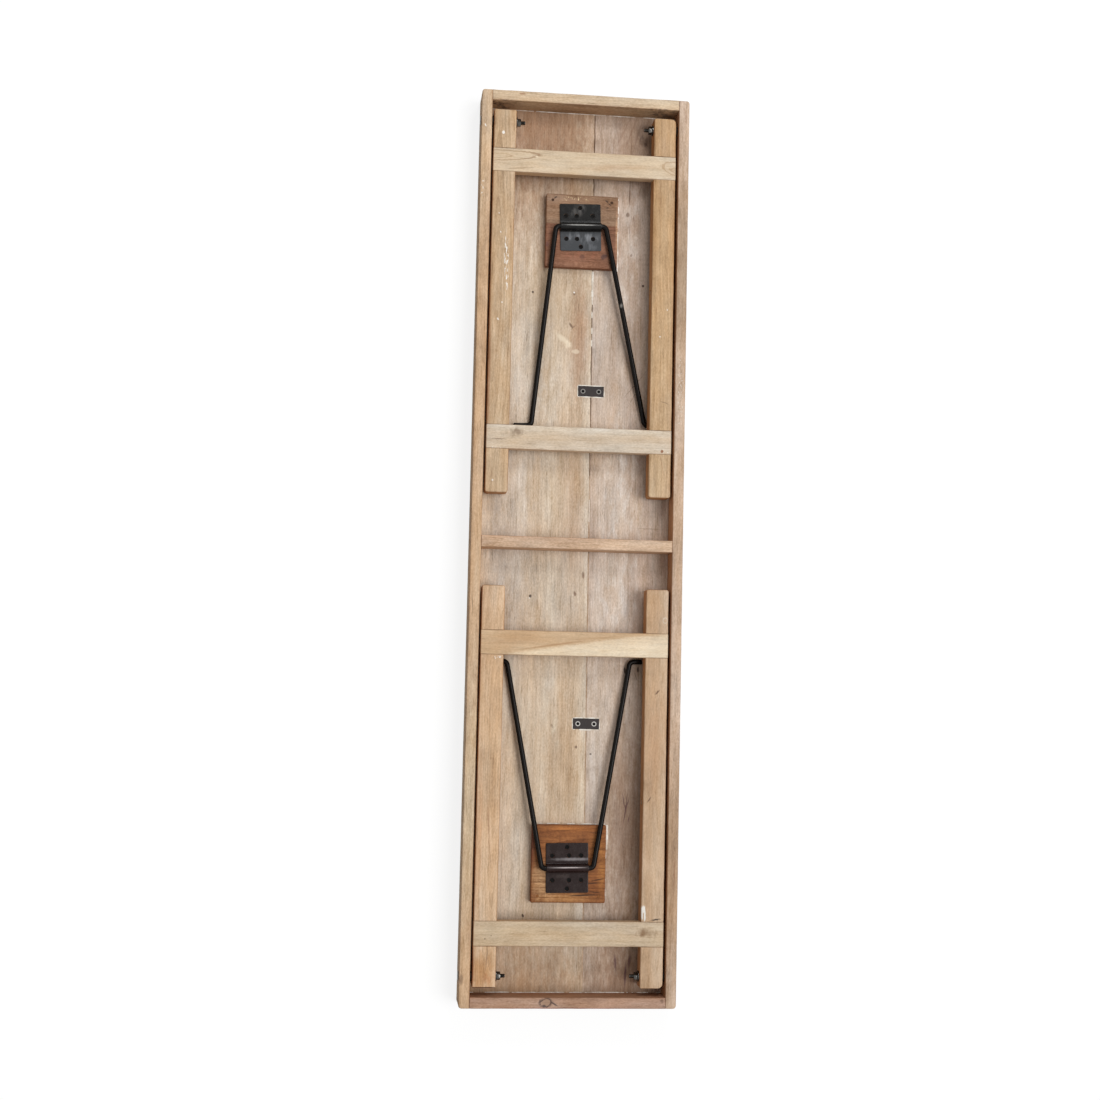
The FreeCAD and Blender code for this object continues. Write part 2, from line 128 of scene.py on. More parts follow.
# Cutters, and the pockets and holes for heads: how much wider than the head, and how deep
CUT_MARGIN = 10 * MM
DRILL_SEGMENTS = 32
WELD = 0.002 * MM
SAME_PLACE = 0.001 * MM
Pocket = namedtuple("Pocket", "extra depth")
TOP_NAIL_POCKET = Pocket(0.6 * MM, 1.5 * MM)
BLOCK_NAIL_POCKET = Pocket(0.4 * MM, 1.2 * MM)
APRON_SCREW_POCKET = Pocket(0.6 * MM, 2.2 * MM)
SADDLE_SCREW_POCKET = Pocket(1.4 * MM, 3.8 * MM)
STRAP_HOLE = Pocket(1.8 * MM, CUT_MARGIN)
PLATE_HOLE = Pocket(-0.6 * MM, CUT_MARGIN)

# Rods, with dents in waves per metre
ROD_RADIUS = 5 * MM
ROD_BEND = 9 * MM
ROD_SIDES = 24
ROD_BEND_STEPS = 10
ROD_TIP_EASE = 0.8 * MM
ROD_DENT = 0.15 * MM
ROD_DENT_WAVES = 60
SADDLE_CORNER = 50.5 * MM
TIP_LENGTHS = {"left": (30 * MM, 24 * MM), "right": (35 * MM, 35 * MM)}

# Straps, with dents in waves per metre
STRAP_WIDTH = 83 * MM
STRAP_LENGTH = 96 * MM
STRAP_THICKNESS = 2 * MM
STRAP_BEND = 4 * MM
STRAP_CLEARANCE = 0.08 * MM
STRAP_CORNER = 2.5 * MM
STRAP_EASE = 0.5 * MM
STRAP_STATION_STEP = 8 * MM
STRAP_DENT = 0.25 * MM
STRAP_DENT_WAVES = 45
FLANGE_STEPS = 8
FOOT_STEPS = 6
CROWN_STEPS = 8

# Fasteners, each copy turned further by an angle in radians
COPY_TURN = 0.9
POINT_START = 0.8
NUT_WIDTH = 14 * MM
NUT_SIDES = 6
NUT_SEGMENTS = 48
NUT_CHAMFER = 0.12
NUT_FACE = 0.97
NUT_PLAY = 0.1 * MM
NUT_COUNTERSINK = 0.6 * MM
WASHER_SEGMENTS = 40
WASHER_PLAY = 0.15 * MM
WASHER_EASE = 0.3 * MM
BOLT_SEGMENTS = 32
BOLT_RADIUS = 4 * MM
BOLT_HEAD_HEIGHT = 2.4 * MM
BOLT_HEAD_RIM = 0.4 * MM
BOLT_DOME_STEPS = 8
BOLT_TIP = ((1.2 * MM, 0.0), (0.6 * MM, 0.5 * MM))
THREAD_START = 1.0 * MM
THREAD_PITCH = 1.25 * MM
THREAD_DEPTH = 0.55 * MM
THREAD_TURNS = 14
SCREW_SEGMENTS = 28
SCREW_POINT = 0.3
SCREW_RIM_LOW = 0.4 * MM
SCREW_RIM_HIGH = 0.2 * MM
SCREW_RIM_EASE = 0.3 * MM
RECESS_HALF = 0.62
RECESS_SLIT = 0.14
RECESS_DEPTH = 1.3 * MM
# How much wider a screw's head is than its node's, and how deep it is sunk
SCREWS = {"saddle_screws_left": (1.0 * MM, 1.2 * MM), "saddle_screws_right": (1.0 * MM, 1.2 * MM),
          "mending_plate_screws": (-1.2 * MM, 0.3 * MM), "apron_screws": (0.0, 0.0)}
NAIL_SIDES = 4
NAIL_POINT = 0.2
NAIL_SHANK = 0.45
NAIL_NECK = 1.2 * MM
NAIL_HEAD = ((0.96, -0.9 * MM), (1.0, -0.45 * MM), (0.8, -0.1 * MM), (0.3, 0.0))
NAIL_DENT = 0.15 * MM
NAIL_DENT_WAVES = 700

# Angles in degrees past which an edge stays sharp
SHARP_EDGE = 40
SHARP_ROD = 50
SHARP_FILLER = 50
SHARP_FASTENER = 30

# Noise patterns: how fine they are along each axis, and the limits that are spread from 0 to 1
Pattern = namedtuple("Pattern", "stretch detail roughness limits", defaults=(2.0, 0.5, None))
PATTERNS = {
    "bend": Pattern((1.7, 5, 5)),
    "broad": Pattern((0.9, 19, 19), limits=(0.38, 0.62)),
    "narrow": Pattern((4.0, 80, 80), 4.0, 0.65),
    "fibre": Pattern((22, 360, 360), 5.0, 0.72),
    "pore": Pattern((34, 640, 640), limits=(0.60, 0.73)),
    "cloud": Pattern((12, 36, 36), 5.0, 0.7),
    "hue": Pattern((6, 24, 24), 5.0, 0.7),
    "speck": Pattern((200, 440, 440)),
    "haze": Pattern((3.8, 12, 12), 4.0, 0.6, (0.50, 0.72)),
    "growth": Pattern((60, 1, 1)),
    "edge": Pattern((35, 35, 35), 3.0),
    "outline": Pattern((55, 150, 150), 3.0, 0.6),
    "flecks": Pattern((210, 330, 330), 3.0, 0.6, (0.58, 0.63)),
    "chips": Pattern((95, 330, 330), 3.0, 0.6, (0.53, 0.57)),
    "paint": Pattern((40, 300, 300), 3.0, 0.6, (0.40, 0.50)),
    "film": Pattern((30, 70, 70), 3.0, 0.6, (0.40, 0.64)),
    "scrawl": Pattern((110, 110, 110), 3.0, 0.6, (0.28, 0.46)),
    "blotch": Pattern((55, 55, 55), 4.0, 0.65, (0.42, 0.78)),
    "scratch": Pattern((120, 800, 800), 1.0, limits=(0.62, 0.74)),
    "metal_grit": Pattern((700, 700, 700)),
    "filler_grit": Pattern((420, 420, 420), 3.0),
    "smear": Pattern((40, 90, 90), 3.0, limits=(0.4, 0.65)),
}

# Grain: how far it and the rings bend, and what each pattern adds to the brightness
SEED_SHIFT = (3.1, 1.7, 2.3)
GRAIN_BEND = (0, 28 * MM, 20 * MM)
RING_BEND = (0, 50 * MM, 20 * MM)
RING_STRETCH = (0.045, 1, 1)
RING_WIDTH = 6 * MM
RING_UNEVENNESS = 2.5
RING_SHARPNESS = 3.0
GRAIN_START = 1.01
GRAIN_SHARES = {"narrow": 0.48, "fibre": 0.66, "cloud": 0.85, "speck": 0.58}
PORE_SHARE = -0.26
RED_HUE = 0.26
BLUE_HUE = -0.36
GREEN_POWER = 1.18
BLUE_POWER = 1.4
HEIGHT_SHARES = {"narrow": 0.5, "fibre": 0.6, "pore": -0.6}
WOOD_ROUGHNESS = 0.55
FIBRE_ROUGHNESS = 0.25
WOOD_SPECULAR = 0.25
WOOD_RELIEF = 0.3 * MM
HAZE_TONE = (214, 202, 190)

# Worn edges, and painted shade on the sides: darker tones that fade in as a face's upward share falls between two
# limits
EDGE_TONE = (122, 76, 52)
EDGE_SHARE = 0.46
EDGE_WIDTH = 1.8 * MM
EDGE_RAGGED = 3.0
PALE_SIDE_SHADE = (0.94, 0.84, 0.73, 1.0)
DEEP_SIDE_SHADE = (0.77, 0.53, 0.35, 1.0)
SIDE_SHADE_FACING = (0.75, 0.4)

# Surfaces of metals and filler
BLOTCH_ROUGHNESS = 0.15
GRIT_ROUGHNESS = 0.2
GRIT_RELIEF = 0.3
METAL_RELIEF = 0.06 * MM
FILLER_SHADE = 0.5
FILLER_ROUGHNESS = 0.8
FILLER_RELIEF = 0.3 * MM

# Beads of filler, with noise in waves per metre and a crown in shares of half width and height
FILLER_STEP = 2.5 * MM
FILLER_ROOT = 0.8 * MM
BEAD_WAVER = 0.4 * MM
BEAD_WAVER_WAVES = 70
BEAD_PATCH_WAVES = 55
BEAD_CRUMB_WAVES = 190
BEAD_CRUMB_SHARE = 0.5
BEAD_TIP = 0.3
BEAD_SLIM = 0.4
BEAD_LOW = 0.3
BEAD_CROWN = ((-0.85, 0.4), (-0.3, 1.0), (0.4, 0.9), (0.9, 0.3))


# Node trees

def srgb(red, green, blue):
    """A linear colour from sRGB values of 0 to 255."""
    def linear(value):
        value /= 255
        return value / 12.92 if value <= 0.04045 else ((value + 0.055) / 1.055) ** 2.4

    return (linear(red), linear(green), linear(blue), 1.0)


class Graph:
    """A node tree in the making. Each call adds a node and gives the socket that it ends in."""

    def __init__(self, tree):
        self.tree = tree

    def put(self, socket, value):
        """Joins the socket to a value that is a socket too, or sets it."""
        if isinstance(value, bpy.types.NodeSocket):
            self.tree.links.new(value, socket)
        elif value is not None:
            socket.default_value = value

    def node(self, kind, inputs=(), **settings):
        node = self.tree.nodes.new(kind)
        for name, value in settings.items():
            setattr(node, name, value)
        for key, value in dict(inputs).items():
            self.put(node.inputs[key], value)
        return node

    def math(self, operation, a, b=None, c=None, clamp=False):
        node = self.node("ShaderNodeMath", {0: a, 1: b, 2: c}, operation=operation, use_clamp=clamp)
        return node.outputs[0]

    def times(self, a, b):
        return self.math("MULTIPLY", a, b)

    def plus(self, value, share, start):
        """The start and a share of the value."""
        return self.math("MULTIPLY_ADD", value, share, start)

    def middled(self, value):
        """How far the value is above its middle of a half."""
        return self.math("SUBTRACT", value, 0.5)

    def sway(self, value, share, start):
        """The start, moved by a share of how far the value is from its middle."""
        return self.plus(self.middled(value), share, start)

    def vector(self, operation, a, b=None, c=None):
        node = self.node("ShaderNodeVectorMath", {0: a, 1: b, 2: c}, operation=operation)
        return node.outputs["Value" if operation == "LENGTH" else "Vector"]

    def split(self, vector):
        return self.node("ShaderNodeSeparateXYZ", {0: vector}).outputs

    def join(self, x, y, z):
        return self.node("ShaderNodeCombineXYZ", {0: x, 1: y, 2: z}).outputs[0]

    def mix(self, factor, a, b, blend="MIX"):
        """A mix of two colours, by socket numbers, because several sockets share a name."""
        inputs = {0: factor, 6: a, 7: b}
        return self.node("ShaderNodeMix", inputs, data_type="RGBA", blend_type=blend).outputs[2]

    def step(self, value, low, high):
        """0 where the value is at low and 1 where it is at high, also where low is the larger."""
        inputs = {"Value": value, "From Min": low, "From Max": high}
        return self.node("ShaderNodeMapRange", inputs, interpolation_type="SMOOTHSTEP").outputs[0]

    def noise(self, vector, name):
        """The noise of a named pattern, from 0 to 1."""
        pattern = PATTERNS[name]
        stretched = self.vector("MULTIPLY", vector, pattern.stretch)
        inputs = {"Vector": stretched, "Scale": 1.0, "Detail": pattern.detail,
                  "Roughness": pattern.roughness}
        value = self.node("ShaderNodeTexNoise", inputs).outputs[0]
        return self.step(value, *pattern.limits) if pattern.limits else value

    def group(self, tree, inputs):
        return self.node("ShaderNodeGroup", inputs, node_tree=tree).outputs


def new_group(name, inputs, outputs):
    """An empty node group with the named sockets, and the graph and sockets to fill it with."""
    tree = bpy.data.node_groups.new(name, "ShaderNodeTree")
    for in_out, sockets in (("INPUT", inputs), ("OUTPUT", outputs)):
        for socket_name, kind in sockets.items():
            tree.interface.new_socket(socket_name, in_out=in_out, socket_type="NodeSocket" + kind)
    graph = Graph(tree)
    return graph, graph.node("NodeGroupInput").outputs, graph.node("NodeGroupOutput").inputs


def timber_group():
    """Grain along X: broad and narrow streaks, rings round a pith line, fibres, pores and a haze."""
    inputs = {"Vector": "Vector", "Seed": "Float", "Pith": "Vector", "Rings": "Float",
              "Contrast": "Float", "Tone": "Color", "Streak": "Color", "Haze": "Float"}
    outputs = {"Color": "Color", "Shade": "Color", "Height": "Float", "Roughness": "Float"}
    g, given, result = new_group("timber_grain", inputs, outputs)
    shifted = g.vector("MULTIPLY_ADD", given["Seed"], SEED_SHIFT, given["Vector"])
    sway = g.middled(g.noise(shifted, "bend"))
    bent = g.vector("MULTIPLY_ADD", sway, GRAIN_BEND, shifted)
    found = {name: g.noise(bent, name) for name in ("broad", "narrow", "fibre", "pore")}
    found.update({name: g.noise(shifted, name) for name in ("cloud", "hue", "speck", "haze")})

    curl = g.vector("MULTIPLY_ADD", sway, RING_BEND, given["Vector"])
    from_pith = g.vector("MULTIPLY", g.vector("SUBTRACT", curl, given["Pith"]), RING_STRETCH)
    distance = g.vector("LENGTH", from_pith)
    uneven = g.noise(g.vector("MULTIPLY", distance, (1, 0, 0)), "growth")
    turns = g.plus(distance, 1 / RING_WIDTH, g.times(uneven, RING_UNEVENNESS))
    ring = g.math("POWER", g.math("FRACT", turns), RING_SHARPNESS)

    gain = g.plus(found["pore"], PORE_SHARE, GRAIN_START)
    for name, share in GRAIN_SHARES.items():
        gain = g.sway(found[name], share, gain)
    gain = g.math("SUBTRACT", gain, g.times(ring, given["Rings"]))
    gain = g.plus(g.math("SUBTRACT", gain, 1.0), given["Contrast"], 1.0)
    red = g.sway(found["hue"], RED_HUE, gain)
    green = g.math("POWER", gain, GREEN_POWER)
    blue = g.sway(found["hue"], BLUE_HUE, g.math("POWER", gain, BLUE_POWER))
    shade = g.join(red, green, blue)
    colour = g.mix(found["broad"], given["Tone"], given["Streak"])
    colour = g.mix(g.times(found["haze"], given["Haze"]), colour, srgb(*HAZE_TONE))
    height = 0.0
    for name, share in HEIGHT_SHARES.items():
        height = g.plus(found[name], share, height)
    g.put(result["Color"], g.vector("MULTIPLY", colour, shade))
    g.put(result["Shade"], shade)
    g.put(result["Height"], height)
    g.put(result["Roughness"], g.plus(found["fibre"], FIBRE_ROUGHNESS, WOOD_ROUGHNESS))
    return g.tree


def edge_group():
    """1 on the edges of a box and 0 away from them, with a ragged border."""
    inputs = {"Vector": "Vector", "Low": "Vector", "High": "Vector", "Width": "Float"}
    g, given, result = new_group("edge_wear", inputs, {"Factor": "Float"})
    from_low = g.vector("SUBTRACT", given["Vector"], given["Low"])
    from_high = g.vector("SUBTRACT", given["High"], given["Vector"])
    depths = g.split(g.vector("MINIMUM", from_low, from_high))
    nearer = g.math("MINIMUM", depths[0], depths[1])
    farther = g.math("MAXIMUM", depths[0], depths[1])
    second = g.math("MAXIMUM", nearer, g.math("MINIMUM", farther, depths[2]))
    ragged = g.times(given["Width"], EDGE_RAGGED)
    reach = g.sway(g.noise(given["Vector"], "edge"), ragged, given["Width"])
    g.put(result["Factor"], g.math("SUBTRACT", 1.0, g.math("DIVIDE", second, reach, clamp=True)))
    return g.tree


def mark_group():
    """How far a place is from a mark's centre, as a share of the mark's half size.

    The mark is turned about Z. It is an ellipsoid, or a box where Square is 1."""
    inputs = {"Vector": "Vector", "Centre": "Vector", "Size": "Vector", "Angle": "Float",
              "Rough": "Float", "Ragged": "Float", "Wobble": "Float", "Square": "Float"}
    g, given, result = new_group("mark", inputs, {"Distance": "Float"})
    turn = {"Vector": g.vector("SUBTRACT", given["Vector"], given["Centre"]), "Angle": given["Angle"]}
    turned = g.node("ShaderNodeVectorRotate", turn, rotation_type="Z_AXIS", invert=True).outputs[0]
    wobble = g.join(0.0, g.times(given["Rough"], given["Wobble"]), 0.0)
    shares = g.vector("DIVIDE", g.vector("ADD", turned, wobble), given["Size"])
    sides = g.split(g.vector("ABSOLUTE", shares))
    boxed = g.math("MAXIMUM", g.math("MAXIMUM", sides[0], sides[1]), sides[2])
    round_off = g.vector("LENGTH", shares)
    distance = g.plus(g.math("SUBTRACT", boxed, round_off), given["Square"], round_off)
    g.put(result["Distance"], g.plus(given["Rough"], given["Ragged"], distance))
    return g.tree


TIMBER = timber_group()
EDGE = edge_group()
MARK = mark_group()


def new_material(name):
    """A material, its graph, its shader and its object coordinates."""
    material = bpy.data.materials.new(name)
    material.use_nodes = True
    graph = Graph(material.node_tree)
    shader = material.node_tree.nodes["Principled BSDF"]
    coordinates = graph.node("ShaderNodeTexCoord").outputs
    return material, graph, shader, coordinates


def set_surface(graph, shader, colour, roughness, specular, height, relief):
    """Gives the shader its surface, raised by the height up to the relief in metres."""
    graph.put(shader.inputs["Base Color"], colour)
    graph.put(shader.inputs["Roughness"], roughness)
    shader.inputs["Specular IOR Level"].default_value = specular
    bump = {"Strength": 1.0, "Distance": relief, "Height": height}
    graph.put(shader.inputs["Normal"], graph.node("ShaderNodeBump", bump).outputs[0])


# Marks, in millimetres on the underside, with lengths along X before they are turned

SPOT_BROWN = (58, 42, 36)
Mark = namedtuple("Mark", "kind x y length width tone share angle", defaults=(SPOT_BROWN, 0.85, 0))
# A style is how deep a mark goes, how ragged and wavy its outline is, whether it is a rectangle
# and how soft its border is. Its whirl is the share of rings in it, its hollow is the share of
# its half size that is left bare inside it, and the grain shows through a veil.
MarkStyle = namedtuple("MarkStyle", "depth ragged wobble square soft whirl hollow veil",
                       defaults=(0, 0, False))
MARK_STYLES = {
    "spot": MarkStyle(5, 0.8, 0, 0.0, 0.5),
    "line": MarkStyle(5, 0.5, 5, 0.0, 0.8),
    "knot": MarkStyle(8, 0.8, 0, 0.0, 0.6, whirl=0.12),
    "ring": MarkStyle(5, 0.15, 0, 0.0, 0.2, hollow=0.5),
    "rim": MarkStyle(5, 0.9, 0, 0.0, 0.3, hollow=0.5),
    "scrawl": MarkStyle(5, 1.1, 0, 0.0, 0.4, hollow=0.5),
    "vein": MarkStyle(8, 0.22, 4, 0.0, 0.12, hollow=0.78),
    "flecks": MarkStyle(5, 0.6, 0, 0.0, 0.5),
    "chips": MarkStyle(5, 0.6, 0, 0.0, 0.5),
    "paint": MarkStyle(5, 1.2, 0, 0.5, 0.3),
    "film": MarkStyle(100, 1.2, 0, 0.0, 0.8, veil=True),
    "wash": MarkStyle(200, 0.8, 0, 0.0, 0.95, veil=True),
    "panel": MarkStyle(100, 0.0, 0, 1.0, 0.02, veil=True),
    "wedge": MarkStyle(100, 0.16, 0, 1.0, 0.20, veil=True),
}
WHIRL_WAVES = 14.0
HOLLOW_RIM = 0.15

PAINT = (238, 233, 224)
WARM_BROWN = (147, 109, 80)
GREY_WOOD = (200, 188, 176)
CREAM = (236, 218, 190)
PURPLE_BROWN = (92, 62, 62)
RUST_BROWN = (140, 88, 56)
DUSK = (104, 78, 60)
STAIN = (74, 62, 60)
SEAM_DARK = (52, 40, 34)

# Each row is a Mark: its kind, x, y, length and width, then its tone, share and angle
MARKS = {
    "top_board_wide": (
        ("wash", 470, 70, 460, 150, (176, 154, 128), 0.56),
        # Partly painted shade: the ends are darker and warmer, in the wood itself and where the end rails shade
        # them.
        ("wash", 880, 90, 780, 520, WARM_BROWN),
        ("wash", -900, 90, 420, 520, (158, 119, 83), 0.78),
        ("wash", 30, 130, 900, 130, GREY_WOOD, 0.7),
        ("wash", 410, -2, 360, 60, (172, 132, 102), 0.7),
        ("wash", 80, 5, 560, 60, (190, 161, 133), 0.6),
        ("wash", -430, 20, 420, 110, (190, 158, 124), 0.55),
        ("film", 300, 70, 500, 120, (224, 214, 202), 0.35),
        ("line", 760, -24.5, 240, 3, SEAM_DARK, 0.75, 0.3),
        ("line", 330, -26.8, 200, 3, SEAM_DARK, 0.9, 0.3),
        ("line", 180, -27.6, 120, 3, SEAM_DARK, 0.6, 0.3),
        ("line", 470, -26.1, 160, 2.4, SEAM_DARK, 0.6, 0.3),
        ("line", 411, 31, 56, 17, (232, 215, 190), 0.8, 52),
        ("film", 402, 22, 30, 26, (232, 215, 190), 0.6, 40),
        ("spot", 387, 5, 12, 20, (232, 215, 190), 0.6),
        ("spot", 440, 16, 16, 7, DUSK, 0.75, 30),
        ("line", 436, 12, 22, 4, DUSK, 0.55, -50),
        ("spot", 505, 11, 6, 6, DUSK, 0.55),
        ("spot", 508, 11, 4, 4, PAINT, 0.95),
        ("spot", 505, 95, 6, 6),
        ("spot", -108, 86, 8, 6),
        ("spot", -112, 87, 3, 3, PAINT),
        ("spot", -732, 86, 9, 5, SPOT_BROWN, 0.85, 25),
        ("knot", -63.5, -19, 18, 7, (120, 92, 72), 0.8, 8),
        ("knot", -101, -3, 14, 7, (112, 84, 66), 0.85, 15),
        ("film", -372, 28, 70, 26, (226, 212, 188), 0.65),
        ("knot", -363, 37, 11, 6, DUSK, 0.45, 30),
        ("spot", -404, -12, 7, 7, DUSK, 0.7),
        ("line", -640, 130, 240, 3, DUSK, 0.35),
    ),
    "top_board_narrow": (
        ("wash", 430, -90, 420, 140, (172, 148, 128), 0.55),
        # Partly painted shade: the ends are darker, in the wood itself and where the end rails shade them.
        ("wash", 890, -110, 700, 280, (150, 122, 100), 0.8),
        ("wash", -890, -110, 520, 260, (140, 106, 80)),
        ("wash", -560, -120, 640, 190, (138, 106, 82), 0.75),
        ("film", 590, -100, 420, 90, (222, 210, 198), 0.5),
        ("film", 120, -100, 520, 130, (222, 212, 202), 0.55),
        ("film", -120, -90, 420, 110, (220, 210, 200), 0.45),
        ("knot", 674, -95.5, 15, 10, (106, 84, 66)),
        ("line", 714, -99, 70, 4, DUSK, 0.75),
        ("line", 640, -99, 60, 3, DUSK, 0.45, 3),
        ("line", 846, -84, 90, 6, (132, 102, 82), 0.4, -24),
        ("line", 842, -98, 110, 5, (132, 102, 82), 0.45, -20),
        ("line", 836, -112, 110, 5, (128, 98, 78), 0.45, -16),
        ("film", 842, -126, 70, 30, STAIN, 0.7),
        ("spot", 528, -129, 6, 6),
        ("spot", 590, -104, 8, 6, DUSK, 0.5),
        ("line", 324, -116, 100, 2.6, DUSK, 0.6, -39),
        ("line", 296, -112, 66, 2.2, DUSK, 0.5, -30),
        ("line", 33, -148, 74, 3, DUSK, 0.35, 90),
        ("spot", -250, -106, 18, 6, SPOT_BROWN, 0.85, 5),
        ("spot", -249, -133, 14, 5),
        ("line", -262, -128, 30, 2.6, DUSK, 0.6, 20),
        ("line", -524, -112.5, 76, 4, PURPLE_BROWN, 0.9, -6),
        ("line", -508, -109, 44, 3, PURPLE_BROWN, 0.75, 12),
        ("line", -514, -116, 46, 3, PURPLE_BROWN, 0.75, -16),
        ("line", -544, -119, 30, 3, PURPLE_BROWN, 0.7, -10),
        ("spot", -417, -41, 4, 6),
        ("line", -822, -97.5, 44, 8, PURPLE_BROWN, 0.85, 3),
        ("line", -844, -118, 70, 7, PURPLE_BROWN, 0.85, -2),
        ("line", -818, -126, 40, 8, PURPLE_BROWN, 0.7, -8),
    ),
    "side_rail_front": (
        ("wash", -520, 200, 700, 60, (206, 186, 156), 0.6),
        ("flecks", 700, 205, 60, 9, PAINT, 0.8),
        ("spot", 826, 202, 8, 3, PAINT, 0.9, 20),
        ("line", -130, 203, 60, 3, DUSK, 0.6, 3),
        ("spot", -846, 206, 26, 10, DUSK, 0.5),
    ),
    "side_rail_back": (
        ("wash", 560, -200, 800, 60, (164, 136, 108)),
        ("wash", -640, -200, 620, 60, (166, 131, 97), 0.75),
        ("flecks", 300, -200, 200, 16, PAINT, 0.6),
        ("film", 860, -200, 70, 20, (150, 104, 80), 0.6),
        ("line", -640, -203, 90, 3, RUST_BROWN, 0.6, -1),
    ),
    "end_rail_right": (
        ("spot", 894, 130, 5, 16, RUST_BROWN, 0.6),
        ("film", 878, 168, 8, 90, STAIN, 0.9),
        ("film", 878, -155, 8, 120, STAIN, 0.8),
        ("wash", 878, 0, 6, 400, (150, 112, 84), 0.7),
    ),
    "end_rail_left": (
        ("knot", -888, 42, 17, 26, (150, 120, 96), 0.7),
        ("scrawl", -888, 42, 20, 32, (62, 46, 42), 0.95),
        ("line", -891, 26, 5, 22, STAIN, 0.85, -30),
        ("line", -895, 46, 8, 12, STAIN, 0.8),
        ("wash", -899, 0, 4, 420, (150, 84, 72), 0.7),
        ("spot", -885, -182, 12, 9, DUSK, 0.6),
    ),
    "leg_right_front": (
        ("line", 320, 182, 330, 7, RUST_BROWN, 0.55),
        ("spot", 815, 165, 8, 7, PAINT, 0.95),
        ("chips", 552, 153, 150, 11, PAINT, 1.0, 2),
        ("spot", 436, 167, 7, 4, PAINT, 0.9, 30),
        ("spot", 470, 160, 4, 4, PAINT, 0.9),
        ("spot", 612, 166, 5, 3, PAINT, 0.8, 20),
        ("spot", 650, 170, 4, 3, PAINT, 0.8),
        ("spot", 115, 170, 5, 4, PAINT, 0.8),
        ("film", 450, 160, 620, 50, (212, 192, 166), 0.35),
    ),
    "leg_right_back": (
        ("line", 282, -170, 28, 2.6, DUSK, 0.6, 70),
        ("spot", 415, -158, 4, 4, PAINT, 0.9),
        ("spot", 470, -172, 4, 3, PAINT, 0.7),
        ("line", 160, -165, 70, 2.6, RUST_BROWN, 0.5, 12),
    ),
    "leg_left_front": (
        ("wash", -580, 178, 560, 18, (194, 146, 104), 0.55),
        ("wash", -830, 168, 130, 90, (190, 142, 94), 0.8),
        ("line", -560, 160, 180, 4, RUST_BROWN, 0.45, 4),
        ("line", -806, 158, 70, 4, DUSK, 0.5, -4),
        ("line", -861.4, 162, 3.6, 140, (64, 36, 26), 0.95),
        ("line", -824, 184, 84, 6, RUST_BROWN, 0.7),
        ("film", -846, 165, 30, 70, (176, 116, 74), 0.6),
        ("flecks", -232, 148, 10, 34, PAINT, 1.0),
    ),
    "leg_left_back": (
        ("wash", -400, -160, 320, 60, (188, 148, 114), 0.5),
        ("line", -293, -164.5, 19, 5, DUSK, 0.85, -45),
        ("line", -502, -152, 17, 4, DUSK, 0.85, -40),
        ("rim", -152, -178, 15, 13, (222, 212, 198), 0.5),
        ("paint", -720, -144, 34, 12, PAINT, 1.0, 3),
        ("line", -732, -168, 28, 5, (28, 22, 20), 0.95, 100),
    ),
    "upper_cross_rail_right": (
        ("vein", 767, 190, 23, 214, (136, 98, 66), 0.8, 3),
        ("vein", 766, 200, 11, 116, (146, 108, 74), 0.6, 2),
        ("spot", 769, 97, 4, 9, CREAM, 0.8),
        ("line", 744, 128, 3, 80, (130, 98, 70), 0.6, 5),
        ("vein", 756, -206, 34, 110, (160, 122, 84), 0.6, -10),
        ("vein", 750, -214, 18, 90, (160, 122, 84), 0.55, -12),
        ("wash", 755, -60, 20, 200, (196, 160, 128), 0.35, 4),
    ),
    "lower_cross_rail_right": (
        ("film", 212, 122, 26, 70, (122, 100, 80), 0.7, 10),
        ("line", 197, 160, 46, 3, DUSK, 0.75, 90),
        ("spot", 184, -166, 8, 8, RUST_BROWN, 0.9),
        ("flecks", 182, -172, 12, 30, PAINT, 0.9),
        ("flecks", 179, 160, 8, 50, PAINT, 1.0),
    ),
    "lower_cross_rail_left": (
        ("wash", -200, 130, 60, 180, (196, 162, 126), 0.7, 9),
        ("wedge", -231, -4.7, 62, 600, CREAM, 0.64, 9),
        ("wash", -212, -120, 40, 260, CREAM, 0.6, 5),
        ("wash", -181, -120, 13, 210, (198, 166, 130), 0.8, 1),
        ("line", -206, 48, 6, 190, (170, 130, 92), 0.65, 9),
        ("line", -190, -40, 4, 160, (182, 146, 108), 0.5, 6),
    ),
    "upper_cross_rail_left": (
        ("film", -758, -148, 26, 78, (128, 98, 70), 0.8),
        ("wash", -758, -150, 20, 50, (136, 104, 74), 0.55),
        ("spot", -770, 162, 3, 3),
        ("spot", -764, 150, 3, 3, DUSK, 0.6),
    ),
    "brace_block_right": (
        ("panel", 594, 0, 100, 200, (132, 88, 66)),
        ("film", 600, 10, 110, 160, (118, 74, 56), 0.5),
        ("film", 585, 0, 40, 120, (166, 112, 88), 0.5),
        ("line", 698, 54.5, 13, 5, (40, 30, 26), 0.85, -45),
        ("line", 694, -50, 13, 5, (40, 30, 26), 0.85, 40),
        ("line", 688, -56, 12, 4, (40, 30, 26), 0.8, 40),
        ("spot", 681, -51, 4, 9, (60, 44, 34), 0.75, 10),
        ("knot", 580, -46, 14, 18, (70, 50, 50), 0.85, 30),
        ("spot", 578, -2, 12, 14, (92, 62, 52), 0.6),
        ("film", 562, 0, 16, 130, (182, 134, 106), 0.6),
        ("flecks", 696, 16, 12, 70, (236, 214, 170), 0.95),
        ("spot", 601, 70, 12, 10, PURPLE_BROWN, 0.6),
        # Painted light: a lighter band along the block's edge at −Y, the side the lamp comes from.
        ("wash", 630, -72, 170, 9, (200, 158, 124), 0.8),
    ),
    "brace_block_left": (
        ("film", -600, 0, 120, 160, (108, 62, 34), 0.5),
        ("wash", -664, 52, 120, 62, (186, 146, 104), 0.75),
        ("wash", -696, 6, 34, 150, (182, 132, 82), 0.65),
